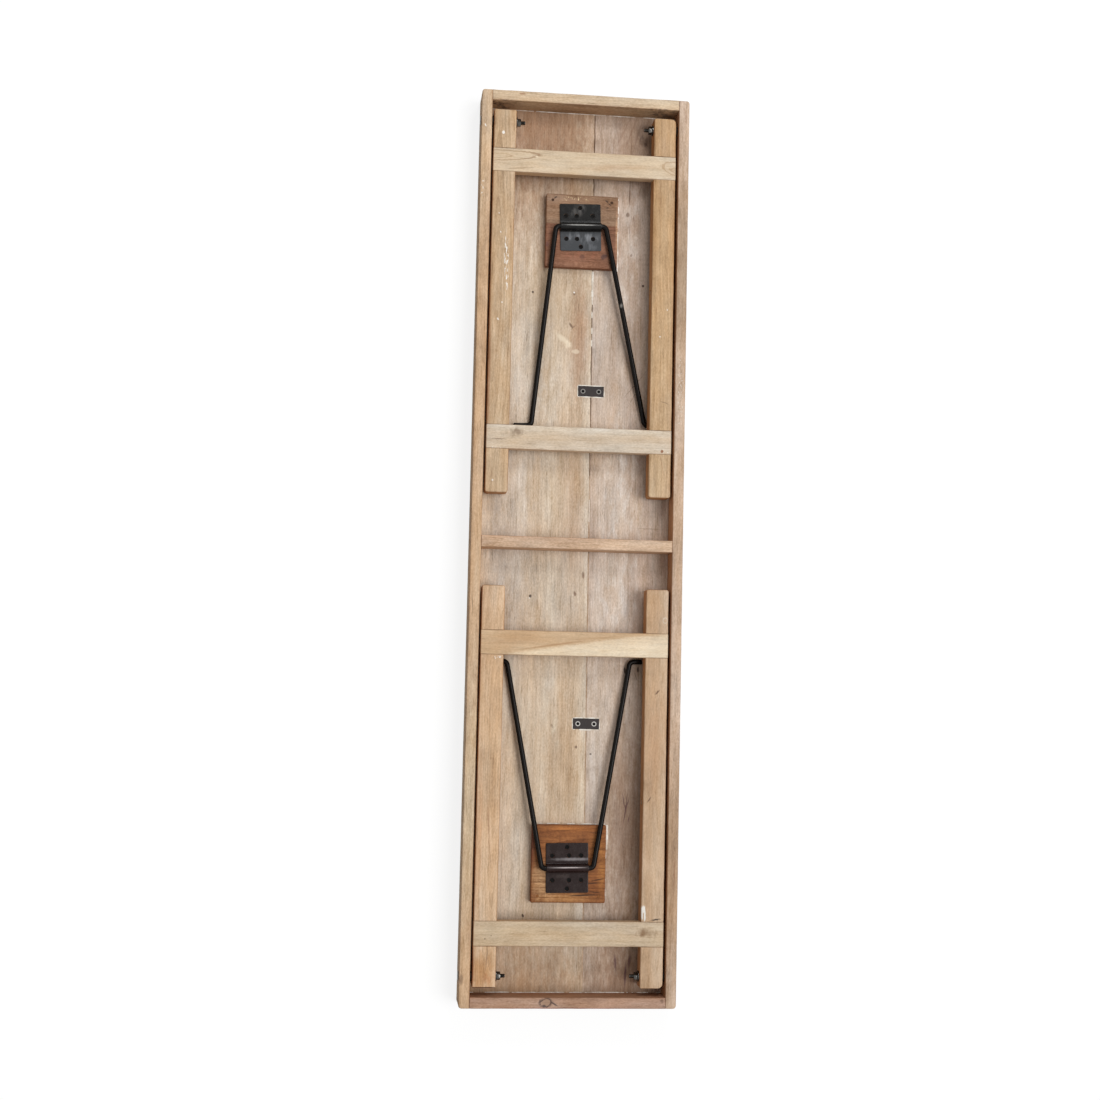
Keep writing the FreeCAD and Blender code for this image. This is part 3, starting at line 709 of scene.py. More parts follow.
        # Painted shade: a dark band along the block's edge at +Y, the side turned away from the lamp.
        ("wash", -590, 72, 130, 22, (96, 52, 42), 0.8),
        ("wash", -562, 0, 16, 170, (190, 120, 62), 0.55),
        ("wash", -640, -66, 160, 24, (178, 118, 62), 0.6),
        ("line", -660, -58, 4, 40, (52, 30, 18), 0.9, 10),
        ("line", -667, -46, 4, 44, (52, 30, 18), 0.8, 6),
        ("line", -690, -30, 5, 90, (46, 28, 18), 0.9, 3),
        ("line", -684, -52, 3, 40, (52, 30, 18), 0.8, -5),
        ("line", -570, -56, 3, 50, (60, 34, 20), 0.6, -4),
        ("line", -566, 10, 3, 60, (60, 34, 20), 0.5, 3),
        ("film", -695, 30, 24, 90, (200, 152, 106), 0.6),
        ("film", -668, 54, 70, 46, (190, 148, 108), 0.7),
        ("film", -590, -54, 60, 40, (188, 128, 64), 0.6),
    ),
    "block_nails": (
        ("panel", -630, 0, 200, 200, (136, 88, 50), 1.0),
    ),
    "saddle_bracket_right": (
        # Painted reflection: the flange below the saddle is made lighter and bluer, as a sheen.
        ("panel", 608, 3, 40, 100, (72, 74, 77), 0.85, 2.1),
        ("film", 616, -2, 30, 84, (136, 138, 142)),
        ("film", 600, -14, 30, 44, (112, 114, 118), 0.7),
        ("flecks", 670, 4, 46, 60, (196, 190, 184), 0.65, 20),
        ("film", 672, 8, 30, 40, (104, 100, 97), 0.6, 20),
        # Painted shade: a near-black band on the saddle's upper wall.
        ("wash", 651, 3, 15, 130, (9, 8, 8), 0.95, 2.1),
        # Painted highlight: a bright line along the saddle's crown.
        ("line", 638.5, 3, 3.6, 92, (164, 162, 158), 0.9, 2.1),
    ),
    "saddle_bracket_left": (
        # Painted highlight: a bright spot and a bright band on the strap beside the saddle.
        ("spot", -617, -26, 12, 16, (170, 170, 174), 0.7),
        ("wash", -620.5, -12, 9, 120, (150, 143, 144), 0.75, 1.0),
        # Painted shade: dark red-brown bands on both sides of the saddle's crown.
        ("wash", -628.5, 3, 10, 140, (28, 10, 9), 0.98, 1.0),
        ("wash", -640.5, 3, 7, 120, (38, 16, 14), 0.85, 1.0),
        ("film", -653, 4, 12, 80, (76, 64, 60), 0.6),
        # Painted highlight: a bright line along the saddle's crown.
        ("line", -635.5, 3, 2.8, 92, (204, 192, 190), 0.95, 1.0),
    ),
    "brace_rod_right": (
        ("wash", 480, -82, 12, 9, (132, 128, 122)),
    ),
}


def add_mark(graph, place, face_z, rough, shade, colour, mark):
    """The colour with a mark on it, on a face at the height face_z.

    The mark is broken up by the noise pattern that has its kind's name, if there is one."""
    style = MARK_STYLES[mark.kind]
    distance = graph.group(MARK, {
        "Vector": place, "Centre": (mark.x * MM, mark.y * MM, face_z),
        "Size": (mark.length * MM / 2, mark.width * MM / 2, style.depth * MM),
        "Angle": math.radians(mark.angle), "Rough": rough, "Ragged": style.ragged,
        "Wobble": style.wobble * MM, "Square": style.square})["Distance"]
    factor = graph.step(distance, 1.0, 1.0 - style.soft)
    if mark.kind in PATTERNS:
        factor = graph.times(factor, graph.noise(place, mark.kind))
    if style.whirl:
        whirl = graph.math("SINE", graph.times(distance, WHIRL_WAVES))
        factor = graph.times(factor, graph.plus(whirl, style.whirl, 1.0 - style.whirl))
    if style.hollow:
        inside = graph.step(distance, style.hollow, style.hollow + HOLLOW_RIM)
        factor = graph.times(factor, inside)
    tone = srgb(*mark.tone)
    if shade and style.veil:
        tone = graph.vector("MULTIPLY", shade, tone[:3])
    return graph.mix(graph.times(factor, mark.share), colour, tone)


def add_marks(graph, place, face_z, colour, marks, shade=None):
    """The colour with all the marks on it, the last one on top."""
    if not marks:
        return colour
    rough = graph.middled(graph.noise(place, "outline"))
    for mark in marks:
        colour = add_mark(graph, place, face_z, rough, shade, colour, Mark(*mark))
    return colour


# Timbers. The pith lies at (across, up) millimetres from the middle of the piece, and the side is the painted
# shade on faces that don't face up.

Timber = namedtuple("Timber", "grain seed tone streak contrast rings pith side haze",
                    defaults=(1.0, 0.10, (40, -60), PALE_SIDE_SHADE, 0.15))
TIMBERS = {
    "top_board_wide": Timber("X", 1, (211, 194, 173), (204, 182, 157), haze=0.30),
    "top_board_narrow": Timber("X", 2, (204, 184, 166), (192, 169, 151), haze=0.40),
    "side_rail_front": Timber("X", 3, (205, 178, 147), (197, 162, 127)),
    "side_rail_back": Timber("X", 4, (207, 182, 160), (193, 163, 136), side=DEEP_SIDE_SHADE, haze=0.25),
    "end_rail_right": Timber("Y", 5, (206, 184, 156), (196, 168, 136)),
    "end_rail_left": Timber("Y", 6, (172, 136, 113), (158, 120, 96), 1.1),
    "centre_stretcher": Timber("Y", 7, (205, 177, 151), (197, 162, 135), 1.1),
    "leg_right_front": Timber("X", 8, (195, 166, 133), (185, 150, 112), 0.95, 0.22, (14, 24), DEEP_SIDE_SHADE),
    "leg_right_back": Timber("X", 9, (197, 166, 129), (184, 148, 108), 0.90, 0.20, (26, -14), DEEP_SIDE_SHADE),
    "leg_left_front": Timber("X", 10, (213, 184, 153), (204, 168, 131), 0.85, 0.20, (-16, 12), DEEP_SIDE_SHADE),
    "leg_left_back": Timber("X", 11, (204, 178, 150), (194, 161, 128), 0.72, 0.12, (-8, 15), DEEP_SIDE_SHADE),
    "upper_cross_rail_right": Timber("Y", 12, (208, 187, 159), (202, 176, 144), 0.62, 0.10, (16, 20)),
    "lower_cross_rail_right": Timber("Y", 13, (216, 203, 185), (207, 188, 165), 0.75, haze=0.30),
    "lower_cross_rail_left": Timber("Y", 14, (212, 186, 152), (203, 172, 137), 0.60),
    "upper_cross_rail_left": Timber("Y", 15, (206, 186, 160), (198, 174, 143), 0.75),
    "brace_block_right": Timber("Y", 16, (146, 115, 90), (134, 100, 75), 1.5, haze=0.10),
    "brace_block_left": Timber("Y", 17, (150, 96, 54), (132, 80, 42), 1.5, 0.25, haze=0.0),
}


def timber_material(node):
    """The wood of one piece."""
    timber = TIMBERS[node]
    low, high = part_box(node)
    material, graph, shader, coordinates = new_material(node + "_wood")
    place = coordinates["Object"]
    along_grain = place
    middle = (low + high) / 2
    if timber.grain == "Y":
        parts = graph.split(place)
        along_grain = graph.join(parts[1], parts[0], parts[2])
        middle = middle.yxz
    grain = graph.group(TIMBER, {
        "Vector": along_grain, "Seed": timber.seed, "Pith": middle + Vector((0, *timber.pith)) * MM,
        "Rings": timber.rings, "Contrast": timber.contrast, "Tone": srgb(*timber.tone),
        "Streak": srgb(*timber.streak), "Haze": timber.haze})
    marks = MARKS.get(node, ())
    colour = add_marks(graph, place, high.z, grain["Color"], marks, grain["Shade"])
    edge = graph.group(EDGE, {"Vector": place, "Low": low, "High": high, "Width": EDGE_WIDTH})[0]
    colour = graph.mix(graph.times(edge, EDGE_SHARE), colour, srgb(*EDGE_TONE))
    # Painted shade: faces that don't face up are darkened by the timber's side tone.
    facing = graph.math("ABSOLUTE", graph.split(coordinates["Normal"])[2])
    colour = graph.mix(graph.step(facing, *SIDE_SHADE_FACING), colour, timber.side, blend="MULTIPLY")
    set_surface(graph, shader, colour, grain["Roughness"], WOOD_SPECULAR, grain["Height"], WOOD_RELIEF)
    return material


# Metals, named by their nodes or else by their nodes' slots

Metal = namedtuple("Metal", "tone worn share roughness specular metallic", defaults=(0.0,))
METALS = {
    "rod_black": Metal((15, 11, 9), (46, 37, 30), 0.16, 0.24, 0.10),
    "plate_steel": Metal((44, 38, 37), (74, 68, 65), 0.35, 0.45, 0.2),
    "pivot_steel": Metal((84, 82, 79), (120, 116, 110), 0.35, 0.20, 0.25, 1.0),
    "pivot_spacers": Metal((26, 23, 21), (54, 50, 46), 0.35, 0.5, 0.1),
    "screw_steel": Metal((12, 10, 9), (34, 30, 27), 0.25, 0.5, 0.08),
    "block_nails": Metal((74, 52, 38), (52, 36, 28), 0.5, 0.7, 0.15),
    "nail_iron": Metal((30, 24, 21), (74, 52, 38), 0.5, 0.7, 0.15),
    "saddle_bracket_right": Metal((20, 19, 18), (60, 59, 57), 0.16, 0.22, 0.14),
    "saddle_bracket_left": Metal((36, 23, 21), (64, 50, 46), 0.26, 0.22, 0.14),
}
HOLE_RING = (214, 210, 204)
HOLE_RING_SIZE = 10.5
HOLE_RING_SHARES = {"mending_plate_left": 0.9, "mending_plate_right": 0.4}


def hole_rings(node):
    """Bright rings painted round the screws, if the node is a mending plate."""
    if node not in HOLE_RING_SHARES:
        return []
    middles = [(low + high) / 2 / MM for low, high in solids("mending_plate_screws")]
    size = (HOLE_RING_SIZE, HOLE_RING_SIZE)
    return [("ring", *middle.xy, *size, HOLE_RING, HOLE_RING_SHARES[node]) for middle in middles]


def metal_material(node):
    """The metal of one piece, with blotches and fine scratches in its worn tone."""
    metal = METALS.get(node) or METALS[NODE_SLOT[node]]
    material, graph, shader, coordinates = new_material(node + "_metal")
    place = coordinates["Object"]
    blotch = graph.noise(place, "blotch")
    grit = graph.noise(place, "metal_grit")
    worn = graph.math("MAXIMUM", blotch, graph.noise(place, "scratch"))
    colour = graph.mix(graph.times(worn, metal.share), srgb(*metal.tone), srgb(*metal.worn))
    marks = MARKS.get(node) or hole_rings(node)
    colour = add_marks(graph, place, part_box(node)[1].z, colour, marks)
    roughness = graph.sway(grit, GRIT_ROUGHNESS, graph.plus(blotch, BLOTCH_ROUGHNESS, metal.roughness))
    height = graph.plus(grit, GRIT_RELIEF, blotch)
    set_surface(graph, shader, colour, roughness, metal.specular, height, METAL_RELIEF)
    shader.inputs["Metallic"].default_value = metal.metallic
    return material


# Shapes

def solids(node):
    """The lowest and highest corners of each separate solid of a node."""
    mesh = bmesh.new()
    mesh.from_mesh(frame["nodes"][node].data)
    bmesh.ops.remove_doubles(mesh, verts=mesh.verts, dist=SAME_PLACE)
    found = []
    seen = set()
    for start in mesh.verts:
        if start in seen:
            continue
        group = [start]
        seen.add(start)
        for vertex in group:
            for edge in vertex.link_edges:
                other = edge.other_vert(vertex)
                if other not in seen:
                    seen.add(other)
                    group.append(other)
        corners = [[pick(v.co[i] for v in group) for i in range(3)] for pick in (min, max)]
        found.append((Vector(corners[0]), Vector(corners[1])))
    mesh.free()
    return found


def loft_into(mesh, rings, cap="flat"):
    """Adds a skin through rings of equally many points.

    A flat cap is one face, a strip cap joins the two halves of a long thin ring, and no cap
    is for rings that come back to the first."""
    loops = [[mesh.verts.new(point) for point in ring] for ring in rings]
    for lower, upper in zip(loops, loops[1:]):
        for i in range(len(lower)):
            mesh.faces.new((lower[i - 1], lower[i], upper[i], upper[i - 1]))
    for loop in (loops[0], loops[-1]):
        if cap == "flat":
            mesh.faces.new(loop)
        if cap == "strip":
            count = len(loop)
            for i in range(count // 2 - 1):
                mesh.faces.new((loop[i], loop[i + 1], loop[count - 2 - i], loop[count - 1 - i]))


def loft(rings, cap="flat"):
    """A closed mesh through rings."""
    mesh = bmesh.new()
    loft_into(mesh, rings, cap)
    if cap == "none":
        bmesh.ops.remove_doubles(mesh, verts=mesh.verts, dist=SAME_PLACE)
    bmesh.ops.recalc_face_normals(mesh, faces=mesh.faces)
    return mesh


def lathe(profile, count, cap="flat", sides=0):
    """A body turned about Z from (radius, height) points, cut to a nut's prism if it has sides."""
    def radius_at(radius, turn):
        if not sides:
            return radius
        off_flat = (turn % (2 * math.pi / sides)) - math.pi / sides
        return min(radius, NUT_WIDTH / 2 / math.cos(off_flat))

    turns = [2 * math.pi * i / count for i in range(count)]
    rings = []
    for radius, height in profile:
        radii = [radius_at(radius, turn) for turn in turns]
        rings.append([(r * math.cos(t), r * math.sin(t), height) for r, t in zip(radii, turns)])
    return loft(rings, cap)


def around(turn):
    """The unit vector at an angle in a plane."""
    return Vector((math.cos(turn), math.sin(turn)))


def turn_to(out):
    """The turn that takes Z to the way out."""
    return out.to_track_quat("Z", "Y").to_matrix().to_4x4()


def add_box(mesh, low, high):
    middle = (Vector(low) + Vector(high)) / 2
    size = Matrix.Diagonal((*(Vector(high) - Vector(low)), 1))
    bmesh.ops.create_cube(mesh, size=1.0, matrix=Matrix.Translation(middle) @ size)


def add_drill(mesh, centre, direction, diameter, length):
    """A round cutter of the length about the centre, with no corner level with its axis."""
    half_segment = Matrix.Rotation(math.pi / DRILL_SEGMENTS, 4, "Z")
    place = Matrix.Translation(centre) @ turn_to(direction) @ half_segment
    bmesh.ops.create_cone(mesh, cap_ends=True, segments=DRILL_SEGMENTS, radius1=diameter / 2,
                          radius2=diameter / 2, depth=length, matrix=place)


def link(name, data):
    """A new object in the scene."""
    thing = bpy.data.objects.new(name, data)
    bpy.context.scene.collection.objects.link(thing)
    return thing


def new_object(name, mesh):
    """An object of the mesh, which is used up."""
    data = bpy.data.meshes.new(name)
    mesh.to_mesh(data)
    mesh.free()
    return link(name, data)


def rework(data, step):
    """Takes an object's mesh data through a step of mesh work."""
    mesh = bmesh.new()
    mesh.from_mesh(data)
    step(mesh)
    mesh.to_mesh(data)
    mesh.free()


def divide(mesh):
    """Makes all faces triangles, because a bent face cuts badly."""
    bmesh.ops.triangulate(mesh, faces=mesh.faces)


def weld(mesh):
    """Joins what a cut leaves in one place."""
    bmesh.ops.remove_doubles(mesh, verts=mesh.verts, dist=WELD)
    bmesh.ops.dissolve_degenerate(mesh, edges=mesh.edges, dist=WELD)


def cut(piece, cutters):
    """Takes the cutters out of the piece."""
    rework(piece.data, divide)
    cutter = new_object("cutter", cutters)
    modifier = piece.modifiers.new("cut", "BOOLEAN")
    modifier.operation = "DIFFERENCE"
    modifier.solver = "EXACT"
    modifier.object = cutter
    bpy.context.view_layer.update()
    shown = piece.evaluated_get(bpy.context.evaluated_depsgraph_get())
    data = bpy.data.meshes.new_from_object(shown)
    rework(data, weld)
    piece.modifiers.clear()
    old = piece.data
    piece.data = data
    bpy.data.meshes.remove(old)
    bpy.data.objects.remove(cutter)


def smooth(piece, sharp):
    """Shades the piece smooth, but for edges past the sharp angle in degrees."""
    piece.data.polygons.foreach_set("use_smooth", [True] * len(piece.data.polygons))
    piece.data.set_sharp_from_angle(angle=math.radians(sharp))


def finish_piece(piece, node, sharp=SHARP_EDGE):
    """Makes the piece stand for its node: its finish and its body."""
    piece.data.materials.clear()
    piece.data.materials.append(timber_material(node) if node in TIMBERS else metal_material(node))
    smooth(piece, sharp)
    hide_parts(node)
    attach(piece, NODE_BODY[node])


# Timbers, each a bar with eased and nicked edges

def inset(depth, radius):
    """How far a rounded end of the radius is drawn in, at a depth from its tip."""
    return radius - math.sqrt(max(0.0, radius ** 2 - max(0.0, radius - depth) ** 2))


def stations(low, high, radius, step):
    """Places along a bar, close together over the radius at each end."""
    near = [radius * (1 - math.cos(QUARTER_TURN * k / END_STEPS)) for k in range(END_STEPS + 1)]
    run = high - low - 2 * radius
    count = max(2, round(run / step))
    middle = [low + radius + run * k / count for k in range(1, count)]
    return [low + depth for depth in near] + middle + [high - depth for depth in reversed(near)]


def section(low, high, ease, parts):
    """Points round a rectangle with eased corners, each with its way in and its share of wear.

    The top and bottom are divided in parts[0], the sides in parts[1]."""
    right, top = high[0] - ease, high[1] - ease
    left, bottom = low[0] + ease, low[1] + ease
    centres = [Vector(corner) for corner in ((right, top), (left, top), (left, bottom), (right, bottom))]
    points = []
    for i, centre in enumerate(centres):
        for k in range(ARC_STEPS + 1):
            out = around(QUARTER_TURN * (i + k / ARC_STEPS))
            points.append((centre + out * ease, -out, 1.0))
        start = centre + out * ease
        finish = centres[(i + 1) % 4] + out * ease
        count = parts[i % 2]
        first = min(FACE_START_SHARE / count, FACE_START / (finish - start).length)
        for share in [first] + [k / count for k in range(1, count)] + [1 - first]:
            points.append((start.lerp(finish, share), -out, FACE_WEAR))
    return points


def nick(spot, seed):
    """How deep a bar is worn at a spot, as a share of its deepest wear."""
    rough = noise.noise(ROUGH_WAVES * spot + seed)
    fine = noise.noise(FINE_WAVES * spot - seed)
    return max(0.0, ROUGH_SHARE * rough + FINE_SHARE * fine + WEAR_START)


def bar_mesh(node, grain, shape, corners=None, limits=None, step=STATION_STEP):
    """A bar that fills its node's box, less its wear.

    The corners are the radii at its low end and at its high end, each at the low side and at
    the high side. limits(place) gives the sides of a bar that isn't straight."""
    low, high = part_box(node)
    along, across = (0, 1) if grain == "X" else (1, 0)
    parts = [max(1, round((high - low)[axis] / FACE_STEP)) for axis in (across, 2)]
    seed = Vector((sum(node.encode()), len(node), 0.5)) * SEED_STEP
    corners = corners or (shape.corners, shape.corners)
    reach = max(shape.ease, *corners[0], *corners[1])
    rings = []
    for place in stations(low[along], high[along], reach, step):
        depths = (place - low[along], high[along] - place)
        left, right = limits(place) if limits else (low[across], high[across])
        left += max(inset(depth, radii[0]) for depth, radii in zip(depths, corners))
        right -= max(inset(depth, radii[1]) for depth, radii in zip(depths, corners))
        lift = max(inset(depth, shape.ease) for depth in depths)
        wear = shape.wear * min(1.0, min(depths) / WEAR_FADE)
        ring = []
        for point, way_in, share in section((left, low.z + lift), (right, high.z - lift), shape.ease, parts):
            x, z = point + way_in * wear * share * nick(Vector((place, *point)), seed)
            ring.append((place, x, z) if grain == "X" else (x, place, z))
        rings.append(ring)
    return loft(rings)


def add_timber(node, shape, cutters=None, corners=None, limits=None):
    piece = new_object(node + "_worn", bar_mesh(node, TIMBERS[node].grain, shape, corners, limits))
    if cutters:
        cut(piece, cutters)
    finish_piece(piece, node)


def head_of(node, low, high):
    """The middle of a fastener's head, the way that it faces and the head's width."""
    middle = (low + high) / 2
    if node in ("apron_screws", "pivot_bolts"):
        out = Vector((0, math.copysign(1, middle.y), 0))
    else:
        out = -UP if node == "top_nails" else UP
    half = (high - low) / 2
    return middle + out * abs(half.dot(out)), out, 2 * half.x


def drilled(pockets):
    """Cutters for pockets or holes at the heads of fasteners, each named by its node."""
    cutters = bmesh.new()
    for node, pocket in pockets.items():
        for low, high in solids(node):
            top, out, width = head_of(node, low, high)
            add_drill(cutters, top, out, width + pocket.extra, 2 * pocket.depth)
    return cutters


def seam_y(place):
    """Where the wide board ends, at a place on the table's length."""
    share = (place - WIDE_LOW.x) / (WIDE_HIGH.x - WIDE_LOW.x)
    return WIDE_LOW.y + (NARROW_HIGH.y + SEAM_GAP - WIDE_LOW.y) * share


def add_board(node, shape, limits):
    cutters = drilled({"top_nails": TOP_NAIL_POCKET})
    gap = Vector((JOINT_GAP, JOINT_GAP, JOINT_GAP))
    for plate in PLATES:
        low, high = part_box(plate)
        add_box(cutters, low - gap, high + gap + UP * CUT_MARGIN)
    add_timber(node, shape, cutters, limits=limits)


def add_boards():
    add_board("top_board_wide", WIDE_BOARD, lambda place: (seam_y(place), WIDE_HIGH.y))
    add_board("top_board_narrow", NARROW_BOARD, lambda place: (NARROW_LOW.y, seam_y(place) - SEAM_GAP))


def add_rails():
    for node, shape in (("side_rail_front", FRONT_RAIL), ("side_rail_back", BACK_RAIL)):
        add_timber(node, shape, drilled({"apron_screws": APRON_SCREW_POCKET}))
    for node in ("end_rail_left", "end_rail_right", "centre_stretcher"):
        add_timber(node, END_RAIL)


def add_leg(leg, shape, rails, pivot):
    """A leg with its laps, the bore for its bolt and its brace hole."""
    low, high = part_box(leg)
    middle_y = (low.y + high.y) / 2
    cutters = bmesh.new()
    gap = Vector((JOINT_GAP, CUT_MARGIN, 0))
    for rail in rails:
        rail_low, rail_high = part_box(rail)
        rail_low.z = rail_high.z - LAP_DEPTH
        add_box(cutters, rail_low - gap, rail_high + gap + UP * CUT_MARGIN)
    add_drill(cutters, Vector((pivot.x, middle_y, pivot.z)), ACROSS, BOLT_BORE, BOLT_BORE_LENGTH)
    inner_y = low.y if middle_y > 0 else high.y
    hole_x = pivot.x - math.copysign(BRACE_HOLE_OFFSET, pivot.x)
    add_drill(cutters, Vector((hole_x, inner_y, pivot.z)), ACROSS, BRACE_HOLE, 2 * BRACE_HOLE_DEPTH)
    foot = (LEG_FOOT_CORNER, LEG_FOOT_CORNER)
    corners = (shape.corners, foot) if pivot.x < 0 else (foot, shape.corners)
    add_timber(leg, shape, cutters, corners)


def add_cross_rail(rail, legs):
    """A rail that is cut away below where it laps over the legs."""
    rail_low, rail_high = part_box(rail)
    cutters = bmesh.new()
    for leg in legs:
        low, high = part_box(leg)
        lap_low = Vector((rail_low.x - CUT_MARGIN, low.y - JOINT_GAP, rail_low.z - CUT_MARGIN))
        lap_high = Vector((rail_high.x + CUT_MARGIN, high.y + JOINT_GAP, rail_high.z - LAP_DEPTH))
        if low.y > 0:
            lap_high.y += CUT_MARGIN
        else:
            lap_low.y -= CUT_MARGIN
        add_box(cutters, lap_low, lap_high)
    add_timber(rail, CROSS_RAIL, cutters)


def add_leg_frame(end):
    pivot = Vector(JOINT_OF_BODY["leg_frame_" + end]["pos_m"])
    rails = [level + "_cross_rail_" + end for level in ("upper", "lower")]
    legs = {"leg_" + end + "_" + side: shape for side, shape in LEGS.items()}
    for leg, shape in legs.items():
        add_leg(leg, shape, rails, pivot)
    for rail in rails:
        add_cross_rail(rail, legs)


def add_block(end):
    pockets = {"block_nails": BLOCK_NAIL_POCKET, "saddle_screws_" + end: SADDLE_SCREW_POCKET}
    add_timber("brace_block_" + end, BLOCK, drilled(pockets))


# Rods

def rounded_path(corners):
    """Points along a rod's path, close together round each bend."""
    stops = [corners[0]]
    for before, corner, after in zip(corners, corners[1:], corners[2:]):
        back = (before - corner).normalized()
        ahead = (after - corner).normalized()
        half = back.angle(ahead) / 2
        centre = corner + (back + ahead).normalized() * ROD_BEND / math.sin(half)
        start = corner + back * ROD_BEND / math.tan(half) - centre
        finish = corner + ahead * ROD_BEND / math.tan(half) - centre
        for k in range(ROD_BEND_STEPS + 1):
            stops.append(centre + start.slerp(finish, k / ROD_BEND_STEPS).normalized() * ROD_BEND)
    stops.append(corners[-1])
    points = [stops[0]]
    for start, finish in zip(stops, stops[1:]):
        count = max(1, round((finish - start).length / STATION_STEP))
        points += [start.lerp(finish, k / count) for k in range(1, count + 1)]
    return points


def rod_mesh(path, normal):
    """A dented rod along a path in the plane of a normal, with its ends eased."""
    path[1:1] = [path[0].lerp(path[1], ROD_TIP_EASE / (path[1] - path[0]).length)]
    path[-1:-1] = [path[-1].lerp(path[-2], ROD_TIP_EASE / (path[-2] - path[-1]).length)]
    last = len(path) - 1
    rings = []
    for i, point in enumerate(path):
        ahead = (path[min(i + 1, last)] - path[max(i - 1, 0)]).normalized()
        side = ahead.cross(normal)
        radius = ROD_RADIUS - (ROD_TIP_EASE if i in (0, last) else 0.0)
        ring = []
        for k in range(ROD_SIDES):
            turn = 2 * math.pi * k / ROD_SIDES
            out = side * math.cos(turn) + normal * math.sin(turn)
            dent = max(0.0, noise.noise((point + out * ROD_RADIUS) * ROD_DENT_WAVES)) * ROD_DENT
            ring.append(point + out * (radius - dent))
        rings.append(ring)
    return loft(rings)


def add_rod(end):
    """A round bar bent to a V, with its turned-out tips cut square."""
    node = "brace_rod_" + end
    joint = JOINT_OF_BODY["brace_" + end]
    saddle = Vector(joint["pos_m"])
    across = -Vector(joint["axis"])
    offsets = [vertex.co - saddle for vertex in frame["nodes"][node].data.vertices]
    middle = sum(offsets, Vector()) / len(offsets)
    forward = (middle - across * middle.dot(across)).normalized()
    reach = max(offset.dot(forward) for offset in offsets) - ROD_RADIUS
    plus_end = max(offset.dot(across) for offset in offsets)
    minus_end = min(offset.dot(across) for offset in offsets)
    plus_tip, minus_tip = TIP_LENGTHS[end]
    corners = [(reach, plus_end), (reach, plus_end - plus_tip), (0, SADDLE_CORNER),
               (0, -SADDLE_CORNER), (reach, minus_end + minus_tip), (reach, minus_end)]
    path = rounded_path([saddle + forward * f + across * a for f, a in corners])
    mesh = rod_mesh(path, across.cross(forward))
    finish_piece(new_object(node + "_bent", mesh), node, SHARP_ROD)


# Brackets and plates

def strap_line(rise):
    """Half of the middle line of a strap, from its flange's end up to the crown: each point with
    its way out and its share of the flange's length. The saddle's axis is at (0, 0)."""
    half = STRAP_THICKNESS / 2
    wall = ROD_RADIUS + STRAP_CLEARANCE + half
    bend = STRAP_BEND + half
    foot = wall + bend
    flange_z = half - rise
    reach = STRAP_LENGTH / 2
    line = []
    for k in range(FLANGE_STEPS + 1):
        share = 1 - k / FLANGE_STEPS
        line.append((Vector((foot + (reach - foot) * share, flange_z)), Vector((0, 1)), share))
    for k in range(1, FOOT_STEPS + 1):
        out = around(-QUARTER_TURN * (1 + k / FOOT_STEPS))
        line.append((Vector((foot, flange_z + bend)) + out * bend, -out, 0.0))
    for k in range(CROWN_STEPS + 1):
        out = around(QUARTER_TURN * k / CROWN_STEPS)
        line.append((out * wall, out, 0.0))
    return line


def strap_ring(line, place, depth, seed):
    """Points round a strap, at a place on its width and a depth from its nearer edge."""
    drawn = inset(depth, STRAP_CORNER)
    thin = STRAP_THICKNESS / 2 - inset(depth, STRAP_EASE)
    outer = []
    inner = []
    for point, out, share in line:
        point = point - Vector((drawn * share, 0))
        dent = noise.noise(Vector((point.x * STRAP_DENT_WAVES, place * STRAP_DENT_WAVES, seed)))
        point.y += max(0.0, dent) * STRAP_DENT * abs(share)
        outer.append(point + out * thin)
        inner.append(point - out * thin)
    return outer + inner[::-1]


def add_bracket(end):
    node = "saddle_bracket_" + end
    joint = JOINT_OF_BODY["brace_" + end]
    saddle = Vector(joint["pos_m"])
    across = Vector(joint["axis"])
    forward = across.cross(UP)
    line = strap_line(saddle.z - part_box("brace_block_" + end)[1].z)
    mirror = Vector((-1, 1))
    line += [(point * mirror, out * mirror, -share) for point, out, share in line[-2::-1]]
    half_width = STRAP_WIDTH / 2
    rings = []
    for place in stations(-half_width, half_width, STRAP_CORNER, STRAP_STATION_STEP):
        ring = strap_ring(line, place, half_width - abs(place), saddle.x)
        rings.append([saddle + forward * p.x + UP * p.y + across * place for p in ring])
    piece = new_object(node + "_strap", loft(rings, "strip"))
    cut(piece, drilled({"saddle_screws_" + end: STRAP_HOLE}))
    finish_piece(piece, node)


def add_plates():
    for node in PLATES:
        piece = new_object(node + "_steel", bar_mesh(node, "Y", PLATE, step=PLATE_STATION_STEP))
        cut(piece, drilled({"mending_plate_screws": PLATE_HOLE}))
        finish_piece(piece, node)


# Filler, gritty and worn away in places, along the seam and round what meets the boards

FILLERS = {"filler_pale": ((236, 230, 220), (206, 194, 178)),
           "filler_wood": ((196, 170, 144), (168, 138, 112))}
# Each row is a bead along the seam: where it starts and ends on the table's length, its width and
# its height, in millimetres, and its cover, with fewer gaps the nearer that is to 1.
SEAM_BEADS = {
    "filler_pale": ((500, 553, 5.0, 0.5, 0.9), (384, 500, 4.0, 0.4, 0.05), (36, 108, 2.4, 0.15, 0.0)),
    "filler_wood": ((-878, -369, 2.6, -0.35, 0.9), (-347, -20, 2.6, -0.35, 0.8),
                    (110, 292, 2.0, -0.5, 0.1), (8, 110, 3.0, -0.15, 0.6)),
}
